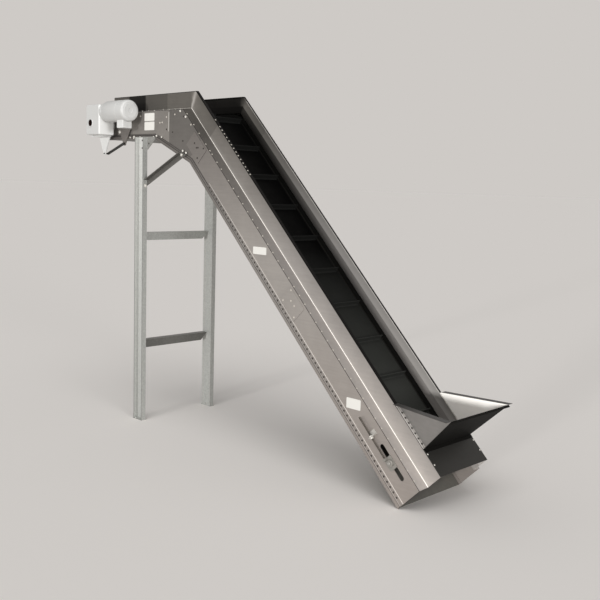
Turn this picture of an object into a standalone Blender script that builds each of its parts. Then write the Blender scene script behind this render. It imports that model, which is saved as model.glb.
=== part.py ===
# Noseover conveyor: a cleated belt climbs a 45 degree trough and levels out to its discharge end.
# Metres, +Z up. The world origin is on the floor, in the middle of the near leg's foot plate.
# Local axes of the frame: x runs from the noseover corner towards the tail, y runs across the
# conveyor from the near side plate's outer face, z is height over the level run's top edge.
import bpy
import bmesh
from math import pi, radians, sin, cos, tan, atan2, acos, hypot, ceil
from mathutils import Vector

# Driving sizes of the whole conveyor
OVERALL_WIDTH = 0.655          # over the outer faces of the two side plates
INCLINE_ANGLE = radians(45.0)
INCLINE_LENGTH = 3.330         # noseover corner to tail end, along the side plate's top edge
HEAD_LENGTH = 1.039            # noseover corner to the discharge end, level
SHEET = 0.003                  # formed sheet steel
GAP = 0.0003                   # seat between touching pieces

# Side plates and lower rails
PLATE_DEPTH = 0.183            # top edge to bottom edge
TOP_FLANGE = 0.030             # side plate's top edge, turned inwards
CHAMFER_RUN = 0.270            # the underside's inner corner is filled this far along both runs
SIDE_SPLICE_NOSE = 0.3215      # joints of the side plates, measured down the incline
SIDE_SPLICE_MID = 1.818
NOSE_RAIL_END = 0.620
SPLICE_LENGTH_NOSE = 0.200
SPLICE_LENGTH_MID = 0.196
SPLICE_MARGIN = 0.016          # splice plate's edge to the side plate's top edge
SPLICE_DEPTH = 0.136
RAIL_DEPTH = 0.216             # side plate's top edge to the rail's underside
RAIL_LAP_NOSE = 0.007          # rail laps the side plate by this much under the noseover
RAIL_LAP_INCLINE = 0.025       # and by this much on the incline
RAIL_JOGGLE = 0.005            # step outwards below the lap
RAIL_FOOT = 0.030              # rail's bottom leg, turned inwards

# Skirts that form the trough
BELT_SIDE_CLEARANCE = 0.022    # skirt's outer face to the belt's edge
LEDGE_RISE = 0.0136
SKIRT_HEIGHT = 0.1274          # ledge to the top of the lip
LIP_WIDTH = 0.025              # turned inwards at the top
SKIRT_JOINT_LEVEL = 0.300      # joints on each side of the noseover corner
SKIRT_JOINT_INCLINE = 0.310

# Belt, cleats, bed and pan
BELT_WIDTH = 0.457
BELT_THICKNESS = 0.005
BELT_DROP = 0.0195             # side plate's top edge down to the carrying surface
CLEAT_HEIGHT = 0.039
CLEAT_BASE = 0.030
CLEAT_ROOT = 0.010
CLEAT_TIP = 0.007
CLEAT_EDGE = 0.015             # bare belt beside a cleat's end
CLEAT_PITCH_WANTED = 0.305
CLEAT_PHASE = 0.061            # first cleat after the belt meets the tail pulley
NOSE_RADIUS = 0.250            # of the side plate's top line; bed and belt follow it
RETURN_RADIUS = 0.450          # of the returning belt where it bends under the noseover
BED_PULLEY_GAP = 0.030         # bed's ends stop this far from the shafts' lines
PAN_THICKNESS = 0.003

# Pulleys and bearings
HEAD_RADIUS = 0.0635
TAIL_RADIUS = 0.0435
HEAD_SHAFT_INSET = 0.060       # discharge end to the head shaft
TAIL_SHAFT_AT = 3.088          # along the incline
PULLEY_OVERHANG = 0.009        # drum's end past the belt's edge
PULLEY_CROWN = 0.0015
HEAD_SHAFT_RADIUS = 0.019
TAIL_SHAFT_RADIUS = 0.0095
HEAD_SHAFT_REACH = 0.120       # outside the near plate, inside the reducer's hollow bore
SHAFT_STUB = 0.030             # outside the far plate
SHAFT_CLEARANCE = 0.0003
BEARING_HALF = 0.056           # flange bearing, half its square flange
BEARING_FLANGE = 0.012
BEARING_HUB_RADIUS = 0.038
BEARING_DEPTH = 0.034
SHAFT_HOLE_CLEARANCE = 0.008   # side plate's hole round the head shaft

# Take-up at the tail
SLOT_START = 2.956             # slot in the side plate, along the incline
SLOT_END = 3.220
SLOT_WIDTH = 0.034
SLOT_DEPTH_AT = 0.0635         # slot's middle below the top edge
TAKEUP_PLATE_LENGTH = 0.086
TAKEUP_PLATE_HEIGHT = 0.056
TAKEUP_PLATE_THICKNESS = 0.006
TAKEUP_SCREW_RADIUS = 0.006
TAKEUP_SCREW_DROP = 0.0835     # screw's axis below the top edge
TAKEUP_SCREW_START = 2.735
TAKEUP_BRACKET_AT = 2.870
TAKEUP_BRACKET_LENGTH = 0.038
TAKEUP_BRACKET_TOP = 0.042
TAKEUP_BRACKET_BOTTOM = 0.098
TAKEUP_STANDOFF = 0.018        # screw's axis outside the side plate
NUT_RADIUS = 0.0105
NUT_HEIGHT = 0.010

# Drive
REDUCER_LENGTH = 0.192         # along the conveyor
REDUCER_WIDTH = 0.147          # along the head shaft
REDUCER_TOP = 0.058
REDUCER_BOTTOM = -0.184
REDUCER_AHEAD = 0.069          # head shaft to the reducer's head-end face
REDUCER_BEVEL = 0.010
BORE_RING_RADIUS = 0.036
BORE_RING_HEIGHT = 0.003
BORE_RADIUS = 0.0275
BORE_DEPTH = 0.060
MOTOR_AXIS_Z = 0.0
MOTOR_RADIUS = 0.085
MOTOR_LENGTH = 0.298
MOTOR_FLANGE_RADIUS = 0.074
MOTOR_FLANGE_LENGTH = 0.042
MOTOR_END_BEVEL = 0.012
CONDUIT_LENGTH = 0.084
CONDUIT_WIDTH = 0.086
CONDUIT_HEIGHT = 0.062
CONDUIT_FROM_END = 0.044
ARM_TOP_WIDTH = 0.156
ARM_PLATE_THICKNESS = 0.010
ARM_FOOT_LENGTH = 0.170
ARM_FOOT_WIDTH = 0.080
ARM_TIP_DROP = 0.146           # reducer's underside to the arm's pin
ARM_TIP_RADIUS = 0.012
ROD_HALF = 0.009               # torque rod, half its width
ROD_THICKNESS = 0.012
PIN_RADIUS = 0.006
BRACKET_PIN_AHEAD = 0.752      # noseover corner to the frame bracket's pin
BRACKET_PIN_DROP = 0.249
BRACKET_HALF = 0.080
BRACKET_TOP_DROP = 0.137
BRACKET_THICKNESS = 0.008

# Legs and bracing
LEG_AHEAD = 0.546              # noseover corner to the leg's head-end face
LEG_WIDTH = 0.112              # channel
LEG_FLANGE = 0.041
LEG_WEB = 0.0048
LEG_FLANGE_THICKNESS = 0.007
LEG_TOP_DROP = 0.203
LEG_HOLE_HEIGHTS = (0.020, 0.084)    # web's bolt holes over the floor
LEG_HOLE_RADIUS = 0.0055
FOOT_MARGIN = 0.003            # foot plate's edge outside the channel's outline
FOOT_THICKNESS = 0.006
GUSSET_THICKNESS = 0.006
GUSSET_HEAD_OVERHANG = 0.024
GUSSET_TAIL_OVERHANG = 0.097
GUSSET_STRAIGHT = 0.022
GUSSET_HEIGHT = 0.100
BRACE_LEG = 0.0635             # angle iron, each leg
BRACE_THICKNESS = 0.006
BRACE_TOP_DROPS = (0.9605, 1.847)
BRACE_FACE_AHEAD = 0.490
KNEE_LEG = 0.040
KNEE_THICKNESS = 0.005
KNEE_FOOT_DROP = 0.570         # knee's lower bolt below the top edge
KNEE_FOOT_BEHIND_WEB = 0.021
KNEE_HEAD_X = 0.010            # knee's upper bolt past the noseover corner
KNEE_HEAD_DROP = 0.345
KNEE_END = 0.022               # end distance past the bolts

# Hopper and tail cover
HOPPER_LENGTH = 0.328          # along the incline, from where the rim leaves the skirt lips
TAIL_COVER_LENGTH = 0.197      # hopper's front plate to the tail end
HOPPER_RIM_INSET = 0.015       # side plate's outer face to the rim's corner
HOPPER_FOOT = 0.0235           # wing's foot on the skirt lip
HOPPER_RIM_LIP = 0.050         # wing's rim, turned outwards
HOPPER_START_HEIGHT = 0.006
FRONT_FOOT = 0.026
FRONT_RIM_LIP = 0.015
COVER_OVERHANG = 0.004

NEAR, FAR = "near", "far"
ARC_STEP = radians(9.0)
BELT_STEP = radians(7.5)

# Sizes worked out from the driving ones
DOWN = Vector((cos(INCLINE_ANGLE), 0, -sin(INCLINE_ANGLE)))
OUT = Vector((sin(INCLINE_ANGLE), 0, cos(INCLINE_ANGLE)))
HALF_TAN = tan(INCLINE_ANGLE / 2)
NOSE_HEIGHT = INCLINE_LENGTH * sin(INCLINE_ANGLE) + RAIL_DEPTH * cos(INCLINE_ANGLE)
LEDGE_WIDTH = (OVERALL_WIDTH - BELT_WIDTH) / 2 - BELT_SIDE_CLEARANCE
SKIRT_TOP = LEDGE_RISE + SKIRT_HEIGHT
HOPPER_FRONT = INCLINE_LENGTH - TAIL_COVER_LENGTH
HOPPER_START = HOPPER_FRONT - HOPPER_LENGTH
HOPPER_RISE = HOPPER_LENGTH * tan(INCLINE_ANGLE)
PULLEY_LENGTH = BELT_WIDTH + 2 * PULLEY_OVERHANG
UNDER_BEND = PLATE_DEPTH * HALF_TAN + CHAMFER_RUN
RAIL_OUTER = -(GAP + SHEET + RAIL_JOGGLE)
GUSSET_INNER = RAIL_OUTER - GAP
WEB_INNER = GUSSET_INNER - GUSSET_THICKNESS - GAP
WEB_OUTER = WEB_INNER - LEG_WEB
LEG_CENTRE_X = -LEG_AHEAD + LEG_WIDTH / 2
LEG_CENTRE_Y = WEB_INNER - LEG_FLANGE / 2
HEAD_X = -HEAD_LENGTH + HEAD_SHAFT_INSET
HEAD_Z = -BELT_DROP - BELT_THICKNESS - HEAD_RADIUS
TAIL_DEPTH = BELT_DROP + BELT_THICKNESS + TAIL_RADIUS


# Materials

def material(name, colour, roughness, metallic):
    made = bpy.data.materials.get(name)
    if made is None:
        made = bpy.data.materials.new(name)
        made.use_nodes = True
        shader = made.node_tree.nodes["Principled BSDF"]
        shader.inputs["Base Color"].default_value = (*colour, 1.0)
        shader.inputs["Roughness"].default_value = roughness
        shader.inputs["Metallic"].default_value = metallic
        made.diffuse_color = (*colour, 1.0)
    return made


def sheet_steel():
    return material("sheet_steel", (0.36, 0.34, 0.32), 0.42, 0.6)


def galvanised_steel():
    return material("galvanised_steel", (0.40, 0.41, 0.39), 0.5, 0.5)


def dark_steel():
    return material("dark_steel", (0.05, 0.045, 0.04), 0.5, 0.4)


def black_belt():
    return material("black_belt", (0.02, 0.021, 0.02), 0.6, 0.0)


def white_paint():
    return material("white_paint", (0.80, 0.80, 0.79), 0.4, 0.0)


def bright_steel():
    return material("bright_steel", (0.55, 0.55, 0.54), 0.3, 1.0)


# Mesh helpers

def clear_scene():
    for thing in list(bpy.data.objects):
        bpy.data.objects.remove(thing, do_unlink=True)


def frame_empty():
    """Carries every piece: its place is the noseover corner's place in the world."""
    empty = bpy.data.objects.new("conveyor_frame", None)
    empty.location = (-LEG_CENTRE_X, -LEG_CENTRE_Y, NOSE_HEIGHT)
    bpy.context.scene.collection.objects.link(empty)
    return empty


def add_object(name, mesh, finish, parent):
    thing = bpy.data.objects.new(name, mesh)
    thing.parent = parent
    mesh.materials.append(finish)
    bpy.context.scene.collection.objects.link(thing)
    return thing


def finish_mesh(name, bm):
    bmesh.ops.remove_doubles(bm, verts=bm.verts, dist=1e-6)
    bmesh.ops.recalc_face_normals(bm, faces=bm.faces)
    mesh = bpy.data.meshes.new(name)
    bm.to_mesh(mesh)
    bm.free()
    return mesh


def loft_into(bm, rings):
    """Closed solid through rings of equally many points; the end rings become flat caps."""
    rows = [[bm.verts.new(p) for p in ring] for ring in rings]
    count = len(rows[0])
    for a, b in zip(rows, rows[1:]):
        for i in range(count):
            j = (i + 1) % count
            bm.faces.new((a[i], a[j], b[j], b[i]))
    bm.faces.new(list(reversed(rows[0])))
    bm.faces.new(rows[-1])


def loft_mesh(name, rings):
    bm = bmesh.new()
    loft_into(bm, rings)
    return finish_mesh(name, bm)


def join_mesh(name, ring_sets):
    bm = bmesh.new()
    for rings in ring_sets:
        loft_into(bm, rings)
    return finish_mesh(name, bm)


def prism_rings(outline, y0, y1):
    """Rings of an (x, z) outline carried across the conveyor from y0 to y1."""
    return [[Vector((x, y, z)) for x, z in outline] for y in (y0, y1)]


def box_rings(low, high):
    outline = [(low[0], low[2]), (high[0], low[2]), (high[0], high[2]), (low[0], high[2])]
    return prism_rings(outline, low[1], high[1])


def turned_rings(profile, origin, axis, facets=28):
    """Rings of a turned solid: profile is (distance along the axis, radius), first to last."""
    axis = Vector(axis).normalized()
    side = axis.orthogonal().normalized()
    other = axis.cross(side)
    rings = []
    for along, radius in profile:
        middle = Vector(origin) + axis * along
        turns = [2 * pi * k / facets for k in range(facets)]
        rings.append([middle + (side * cos(t) + other * sin(t)) * radius for t in turns])
    return rings


def boolean(thing, tool, operation):
    mod = thing.modifiers.new(operation.lower(), "BOOLEAN")
    mod.operation = operation
    mod.object = tool
    mod.solver = "EXACT"
    return mod


def cutter(name, mesh, parent):
    tool = bpy.data.objects.new(name, mesh)
    tool.parent = parent
    tool.hide_render = True
    tool.display_type = "WIRE"
    bpy.context.scene.collection.objects.link(tool)
    return tool


def soften(thing, width, segments=2):
    mod = thing.modifiers.new("bevel", "BEVEL")
    mod.width = width
    mod.segments = segments
    mod.limit_method = "ANGLE"
    mod.angle_limit = radians(40)
    return mod


def smooth(thing):
    thing.data.shade_smooth()
    thing.data.set_sharp_from_angle(angle=radians(35))


# Outlines and stations

def strip(points, thickness):
    """Outline of a bent sheet: a line of (a, b) points with half the thickness on both sides."""
    half = thickness / 2
    left, right = [], []
    for i, (a, b) in enumerate(points):
        ways = []
        if i > 0:
            ways.append((a - points[i - 1][0], b - points[i - 1][1]))
        if i < len(points) - 1:
            ways.append((points[i + 1][0] - a, points[i + 1][1] - b))
        normals = [(-v / hypot(u, v), u / hypot(u, v)) for u, v in ways]
        na = sum(n[0] for n in normals) / len(normals)
        nb = sum(n[1] for n in normals) / len(normals)
        scale = half / (na * na + nb * nb)
        left.append((a + na * scale, b + nb * scale))
        right.append((a - na * scale, b - nb * scale))
    return left + list(reversed(right))


def level_station(x):
    """Where the top edge is at x on the level run, and which way its outward side points."""
    return Vector((x, 0, 0)), Vector((0, 0, 1))


def corner_station():
    return Vector((0, 0, 0)), Vector((HALF_TAN, 0, 1))


def incline_station(s):
    return DOWN * s, OUT.copy()


def nose_arc_stations():
    """Stations round the noseover for pieces that bend on a radius."""
    centre = Vector((-NOSE_RADIUS * HALF_TAN, 0, -NOSE_RADIUS))
    steps = max(2, ceil(INCLINE_ANGLE / ARC_STEP))
    stations = []
    for k in range(steps + 1):
        t = INCLINE_ANGLE * k / steps
        way = Vector((sin(t), 0, cos(t)))
        stations.append((centre + way * NOSE_RADIUS, way))
    return stations


def under_stations(start, end):
    """Stations of the underside: level run, chamfer and incline, from x = start to s = end."""
    first = Vector((-UNDER_BEND, 0, -PLATE_DEPTH))
    second = DOWN * UNDER_BEND - OUT * PLATE_DEPTH
    quarter = INCLINE_ANGLE / 2
    middle_way = Vector((sin(quarter), 0, cos(quarter)))
    up = Vector((0, 0, 1))
    stations = [(Vector((start, 0, -PLATE_DEPTH)), up)]
    stations.append((first, (up + middle_way) / (1 + up.dot(middle_way))))
    stations.append((second, (OUT + middle_way) / (1 + OUT.dot(middle_way))))
    stations.append((DOWN * end - OUT * PLATE_DEPTH, OUT.copy()))
    return stations


def section_ring(section, station, side=NEAR):
    """Points of a (y, n) section at a station; the far side is its mirror image."""
    origin, way = station
    ring = []
    for y, n in section:
        across = y if side == NEAR else OVERALL_WIDTH - y
        ring.append(origin + way * n + Vector((0, across, 0)))
    return ring


def swept(name, section, stations, side, finish, parent):
    rings = [section_ring(section, station, side) for station in stations]
    return add_object(name, loft_mesh(name, rings), finish, parent)


def mirrored(y, side):
    return y if side == NEAR else OVERALL_WIDTH - y


def across(side, y0, y1):
    """Lower and upper y of a slice that is given for the near side."""
    a, b = mirrored(y0, side), mirrored(y1, side)
    return min(a, b), max(a, b)


def on_incline(s, n):
    p = DOWN * s + OUT * n
    return p.x, p.z


# Side plates

def plate_section(depth):
    """Flat web with its top edge turned inwards, as (y, n) points."""
    return [(0, -depth), (0, 0), (TOP_FLANGE, 0), (TOP_FLANGE, -SHEET),
            (SHEET, -SHEET), (SHEET, -depth)]


def depth_at(distance):
    """Side plate's depth at a distance from the noseover corner, filled corner included."""
    return PLATE_DEPTH + max(0.0, UNDER_BEND - distance) * HALF_TAN


def head_side(side, parent):
    """Side plate of the level run and the noseover, in one piece, with the chamfered underside."""
    middle_depth = PLATE_DEPTH + CHAMFER_RUN * sin(INCLINE_ANGLE) / 2
    end = SIDE_SPLICE_NOSE - GAP / 2
    rings = [
        section_ring(plate_section(PLATE_DEPTH), level_station(-HEAD_LENGTH), side),
        section_ring(plate_section(PLATE_DEPTH), level_station(-UNDER_BEND), side),
        section_ring(plate_section(middle_depth), corner_station(), side),
    ]
    if end < UNDER_BEND:
        rings.append(section_ring(plate_section(depth_at(end)), incline_station(end), side))
    else:
        rings.append(section_ring(plate_section(PLATE_DEPTH), incline_station(UNDER_BEND), side))
        rings.append(section_ring(plate_section(PLATE_DEPTH), incline_station(end), side))
    name = f"{side}_head_side"
    plate = add_object(name, loft_mesh(name, rings), sheet_steel(), parent)
    hole = HEAD_SHAFT_RADIUS + SHAFT_HOLE_CLEARANCE
    y0, y1 = across(side, -0.01, 0.02)
    tool = turned_rings([(0, hole), (y1 - y0, hole)], (HEAD_X, y0, HEAD_Z), (0, 1, 0))
    boolean(plate, cutter(f"{side}_shaft_hole", loft_mesh("shaft_hole", tool), parent), "DIFFERENCE")
    return plate


def slot_outline():
    """Round-ended slot of the take-up, in (x, z)."""
    r = SLOT_WIDTH / 2
    points = []
    for middle, start in ((SLOT_START + r, pi / 2), (SLOT_END - r, -pi / 2)):
        for k in range(9):
            t = start + pi * k / 8
            points.append(on_incline(middle + r * cos(t), -SLOT_DEPTH_AT + r * sin(t)))
    return points


def incline_side(name, side, start, end, slotted, parent):
    marks = [start, UNDER_BEND, end] if start < UNDER_BEND < end else [start, end]
    rings = [section_ring(plate_section(depth_at(s)), incline_station(s), side) for s in marks]
    plate = add_object(name, loft_mesh(name, rings), sheet_steel(), parent)
    if slotted:
        y0, y1 = across(side, -0.01, 0.02)
        tool = loft_mesh("slot", prism_rings(slot_outline(), y0, y1))
        boolean(plate, cutter(f"{side}_slot", tool, parent), "DIFFERENCE")
    return plate


def splice_plate(name, side, middle, length, parent):
    """Flat plate bolted over a joint of the side plates, on their outer side."""
    low, high = middle - length / 2, middle + length / 2
    top = -SPLICE_MARGIN
    outline = [on_incline(s, n) for s, n in ((low, top - SPLICE_DEPTH), (high, top - SPLICE_DEPTH),
                                             (high, top), (low, top))]
    y0, y1 = across(side, -GAP - SHEET, -GAP)
    return add_object(name, loft_mesh(name, prism_rings(outline, y0, y1)), sheet_steel(), parent)


# Lower rails

def rail_section(lap):
    """Lap on the side plate, joggle outwards, drop, and foot turned inwards.
    Here n counts from the side plate's bottom edge."""
    lap_y = -GAP - SHEET / 2
    drop_y = lap_y - RAIL_JOGGLE
    foot_n = PLATE_DEPTH - RAIL_DEPTH + SHEET / 2
    line = [(lap_y, lap), (lap_y, -0.001), (drop_y, -0.007), (drop_y, foot_n), (RAIL_FOOT, foot_n)]
    return strip(line, SHEET)


def lower_rail(name, side, lap, stations, parent):
    return swept(name, rail_section(lap), stations, side, sheet_steel(), parent)


# Skirts

def skirt_section():
    """Ledge over the side plate, upright, and lip turned inwards at the top."""
    half = SHEET / 2
    upright = LEDGE_WIDTH + half
    line = [(0, GAP + half), (upright, LEDGE_RISE - half), (upright, SKIRT_TOP - half),
            (LEDGE_WIDTH + LIP_WIDTH, SKIRT_TOP - half)]
    return strip(line, SHEET)


def skirts(side, parent):
    level = [level_station(-HEAD_LENGTH), level_station(-SKIRT_JOINT_LEVEL - GAP)]
    nose = [level_station(-SKIRT_JOINT_LEVEL), corner_station(), incline_station(SKIRT_JOINT_INCLINE)]
    slope = [incline_station(SKIRT_JOINT_INCLINE + GAP), incline_station(INCLINE_LENGTH)]
    for part, stations in (("head_skirt", level), ("nose_skirt", nose), ("incline_skirt", slope)):
        swept(f"{side}_{part}", skirt_section(), stations, side, sheet_steel(), parent)


# Bed and return pan

def bed_top():
    return -BELT_DROP - BELT_THICKNESS - GAP


def slider_bed(parent):
    """Shallow pan under the carrying run; its turned-up edges meet the skirts' ledges."""
    half = SHEET / 2
    edge = LEDGE_WIDTH + half
    floor = bed_top() - half
    top = LEDGE_RISE - SHEET - 2 * GAP
    line = [(edge, top), (edge, floor), (OVERALL_WIDTH - edge, floor), (OVERALL_WIDTH - edge, top)]
    stations = [level_station(HEAD_X + BED_PULLEY_GAP)]
    stations += nose_arc_stations()
    stations.append(incline_station(TAIL_SHAFT_AT - BED_PULLEY_GAP))
    return swept("slider_bed", strip(line, SHEET), stations, NEAR, sheet_steel(), parent)


def return_pan(parent):
    """Flat bottom that closes the frame under the returning belt; it lies on the rails' feet."""
    low = PLATE_DEPTH - RAIL_DEPTH + SHEET + GAP
    section = [(GAP, low), (OVERALL_WIDTH - GAP, low),
               (OVERALL_WIDTH - GAP, low + PAN_THICKNESS), (GAP, low + PAN_THICKNESS)]
    stations = under_stations(-HEAD_LENGTH, INCLINE_LENGTH)
    return swept("return_pan", section, stations, NEAR, sheet_steel(), parent)


# Belt

def arc_points(centre, radius, start, turn, step=BELT_STEP):
    """Belt line on an arc: (x, z) and outward normal, from the normal's angle start through turn."""
    steps = max(2, ceil(abs(turn) / step))
    points = []
    for k in range(steps + 1):
        t = start + turn * k / steps
        way = (sin(t), cos(t))
        points.append(((centre[0] + way[0] * radius, centre[1] + way[1] * radius), way))
    return points


def belt_loop():
    """The belt's middle line once round, as ((x, z), outward normal) points.
    Angles are those of the outward normal, clockwise from straight up. With them comes the
    number of points before the tail pulley."""
    mid = BELT_THICKNESS / 2
    drop = BELT_DROP + mid
    head = (HEAD_X, HEAD_Z)
    tail = on_incline(TAIL_SHAFT_AT, -TAIL_DEPTH)
    head_r, tail_r = HEAD_RADIUS + mid, TAIL_RADIUS + mid
    nose_c = (-NOSE_RADIUS * HALF_TAN, -NOSE_RADIUS)
    return_z = HEAD_Z - head_r
    bend_c = (-(drop + 2 * head_r) * HALF_TAN - RETURN_RADIUS * HALF_TAN, return_z - RETURN_RADIUS)
    dx, dz = tail[0] - bend_c[0], tail[1] - bend_c[1]
    slope = atan2(dx, dz) - acos((RETURN_RADIUS + tail_r) / hypot(dx, dz))
    points = arc_points(nose_c, NOSE_RADIUS - drop, 0, INCLINE_ANGLE, ARC_STEP)
    before_tail = len(points)
    points += arc_points(tail, tail_r, INCLINE_ANGLE, pi - INCLINE_ANGLE + slope)
    under = arc_points(bend_c, RETURN_RADIUS, slope, -slope)
    points += [(p, (-n[0], -n[1])) for p, n in under]
    points += arc_points(head, head_r, pi, pi)
    return points, before_tail


def loop_lengths(points):
    """Distance along the closed line up to each point, and the whole length."""
    marks = [0.0]
    for (a, _), (b, _) in zip(points, points[1:] + points[:1]):
        marks.append(marks[-1] + hypot(b[0] - a[0], b[1] - a[1]))
    return marks


def along_loop(points, marks, distance):
    """Place, direction and outward normal at a distance along the closed line."""
    distance %= marks[-1]
    k = max(i for i in range(len(points)) if marks[i] <= distance)
    (a, na), (b, nb) = points[k], points[(k + 1) % len(points)]
    share = (distance - marks[k]) / (marks[k + 1] - marks[k])
    place = Vector((a[0] + (b[0] - a[0]) * share, 0, a[1] + (b[1] - a[1]) * share))
    run = Vector((b[0] - a[0], 0, b[1] - a[1])).normalized()
    normal = Vector((-run.z, 0, run.x))
    if normal.x * (na[0] + nb[0]) + normal.z * (na[1] + nb[1]) < 0:
        normal = -normal
    return place, run, normal


def cleat_rings(place, run, normal):
    """One cleat: flat base on the belt, narrowing rib, standing on the outer side."""
    top = BELT_THICKNESS / 2
    foot = (-0.45 * BELT_THICKNESS, 0.0015, 0.005)
    half = (CLEAT_BASE / 2, CLEAT_ROOT / 2, CLEAT_TIP / 2)
    side = [(half[0], foot[0]), (half[0], foot[1]), (half[1], foot[2]), (half[2], CLEAT_HEIGHT)]
    profile = side + [(-u, h) for u, h in reversed(side)]
    y0 = (OVERALL_WIDTH - BELT_WIDTH) / 2 + CLEAT_EDGE
    rings = []
    for y in (y0, OVERALL_WIDTH - y0):
        ring = [place + run * u + normal * (top + h) + Vector((0, y, 0)) for u, h in profile]
        rings.append(ring)
    return rings


def cleated_belt(parent):
    """Endless belt with cross cleats, one fixed loop round both pulleys."""
    points, before_tail = belt_loop()
    half = BELT_THICKNESS / 2
    y0 = (OVERALL_WIDTH - BELT_WIDTH) / 2
    bm = bmesh.new()
    loops = []
    for y in (y0, OVERALL_WIDTH - y0):
        for sign in (1, -1):
            loops.append([bm.verts.new((p[0] + n[0] * half * sign, y, p[1] + n[1] * half * sign))
                          for p, n in points])
    near_out, near_in, far_out, far_in = loops
    count = len(points)
    for a, b in ((near_out, far_out), (far_out, far_in), (far_in, near_in), (near_in, near_out)):
        for i in range(count):
            j = (i + 1) % count
            bm.faces.new((a[i], a[j], b[j], b[i]))
    belt = add_object("cleated_belt", finish_mesh("cleated_belt", bm), black_belt(), parent)
    marks = loop_lengths(points)
    cleats = round(marks[-1] / CLEAT_PITCH_WANTED)
    pitch = marks[-1] / cleats
    first = marks[before_tail] + CLEAT_PHASE
    sets = [cleat_rings(*along_loop(points, marks, first + k * pitch)) for k in range(cleats)]
    boolean(belt, cutter("cleats", join_mesh("cleats", sets), parent), "UNION")
    return belt


# Pulleys and bearings

def pulley(name, x, z, radius, shaft, near_reach, far_reach, parent):
    """Crowned drum fixed on its shaft, turned about the shaft's line."""
    drum = (OVERALL_WIDTH - PULLEY_LENGTH) / 2
    end = OVERALL_WIDTH - drum
    full = radius * cos(BELT_STEP / 2) - SHAFT_CLEARANCE
    edge = full - PULLEY_CROWN
    third = PULLEY_LENGTH / 3
    profile = [(-near_reach, shaft), (drum, shaft), (drum, edge), (drum + third, full),
               (end - third, full), (end, edge), (end, shaft), (OVERALL_WIDTH + far_reach, shaft)]
    rings = turned_rings(profile, (x, 0, z), (0, 1, 0), 32)
    thing = add_object(name, loft_mesh(name, rings), bright_steel(), parent)
    smooth(thing)
    return thing


def flange_bearing(name, side, x, z, shaft, face, parent):
    """Square flange with a round hub, bored for the shaft, on the outside of a side plate."""
    hub = turned_rings([(0, BEARING_HUB_RADIUS), (BEARING_DEPTH * 0.7, BEARING_HUB_RADIUS),
                        (BEARING_DEPTH, BEARING_HUB_RADIUS * 0.8)],
                       (x, mirrored(face, side), z), (0, -1 if side == NEAR else 1, 0), 24)
    y0, y1 = across(side, face - BEARING_FLANGE, face)
    cut = BEARING_HALF * 0.3
    h = BEARING_HALF
    corners = [(h, -h + cut), (h, h - cut), (h - cut, h), (-h + cut, h), (-h, h - cut),
               (-h, -h + cut), (-h + cut, -h), (h - cut, -h)]
    outline = [(x + u, z + v) for u, v in corners]
    thing = add_object(name, loft_mesh(name, prism_rings(outline, y0, y1)), white_paint(), parent)
    boolean(thing, cutter(f"{name}_hub", loft_mesh("hub", hub), parent), "UNION")
    bore = shaft + SHAFT_CLEARANCE
    y2, y3 = across(side, face - BEARING_DEPTH - 0.01, face + 0.01)
    tool = turned_rings([(0, bore), (y3 - y2, bore)], (x, y2, z), (0, 1, 0), 32)
    boolean(thing, cutter(f"{name}_bore", loft_mesh("bore", tool), parent), "DIFFERENCE")
    return thing


# Take-up

def takeup_slide(side, parent):
    """Plate that carries the tail shaft in front of the slot; the screw draws it along."""
    name = f"{side}_takeup_slide"
    half = TAKEUP_PLATE_LENGTH / 2
    top = -SLOT_DEPTH_AT + TAKEUP_PLATE_HEIGHT * 0.40
    bottom = top - TAKEUP_PLATE_HEIGHT - 0.010
    cut = 0.010
    corners = [(-half, bottom + cut), (-half + cut, bottom), (half - cut, bottom), (half, bottom + cut),
               (half, top), (-half, top)]
    outline = [on_incline(TAIL_SHAFT_AT + u, v) for u, v in corners]
    y0, y1 = across(side, -GAP - TAKEUP_PLATE_THICKNESS, -GAP)
    thing = add_object(name, loft_mesh(name, prism_rings(outline, y0, y1)), bright_steel(), parent)
    x, z = on_incline(TAIL_SHAFT_AT, -TAIL_DEPTH)
    out = -1 if side == NEAR else 1
    start = mirrored(-GAP - TAKEUP_PLATE_THICKNESS / 2, side)
    boss = turned_rings([(0, 0.022), (0.016, 0.022), (0.019, 0.019)], (x, start, z), (0, out, 0), 24)
    boolean(thing, cutter(f"{name}_boss", loft_mesh("boss", boss), parent), "UNION")
    lug_x, lug_z = on_incline(TAIL_SHAFT_AT - half + 0.008, -TAKEUP_SCREW_DROP)
    reach = TAKEUP_STANDOFF + 0.012
    lug = []
    for y in (-GAP - TAKEUP_PLATE_THICKNESS / 2, -reach):
        corners = ((-0.0075, -0.012), (0.0075, -0.012), (0.0075, 0.012), (-0.0075, 0.012))
        lug.append([Vector((lug_x, mirrored(y, side), lug_z)) + DOWN * u + OUT * v for u, v in corners])
    boolean(thing, cutter(f"{name}_lug", loft_mesh("lug", lug), parent), "UNION")
    bore = TAIL_SHAFT_RADIUS + SHAFT_CLEARANCE
    y2, y3 = across(side, -0.05, 0.01)
    tool = turned_rings([(0, bore), (y3 - y2, bore)], (x, y2, z), (0, 1, 0), 24)
    boolean(thing, cutter(f"{name}_bore", loft_mesh("bore", tool), parent), "DIFFERENCE")
    return thing


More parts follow.
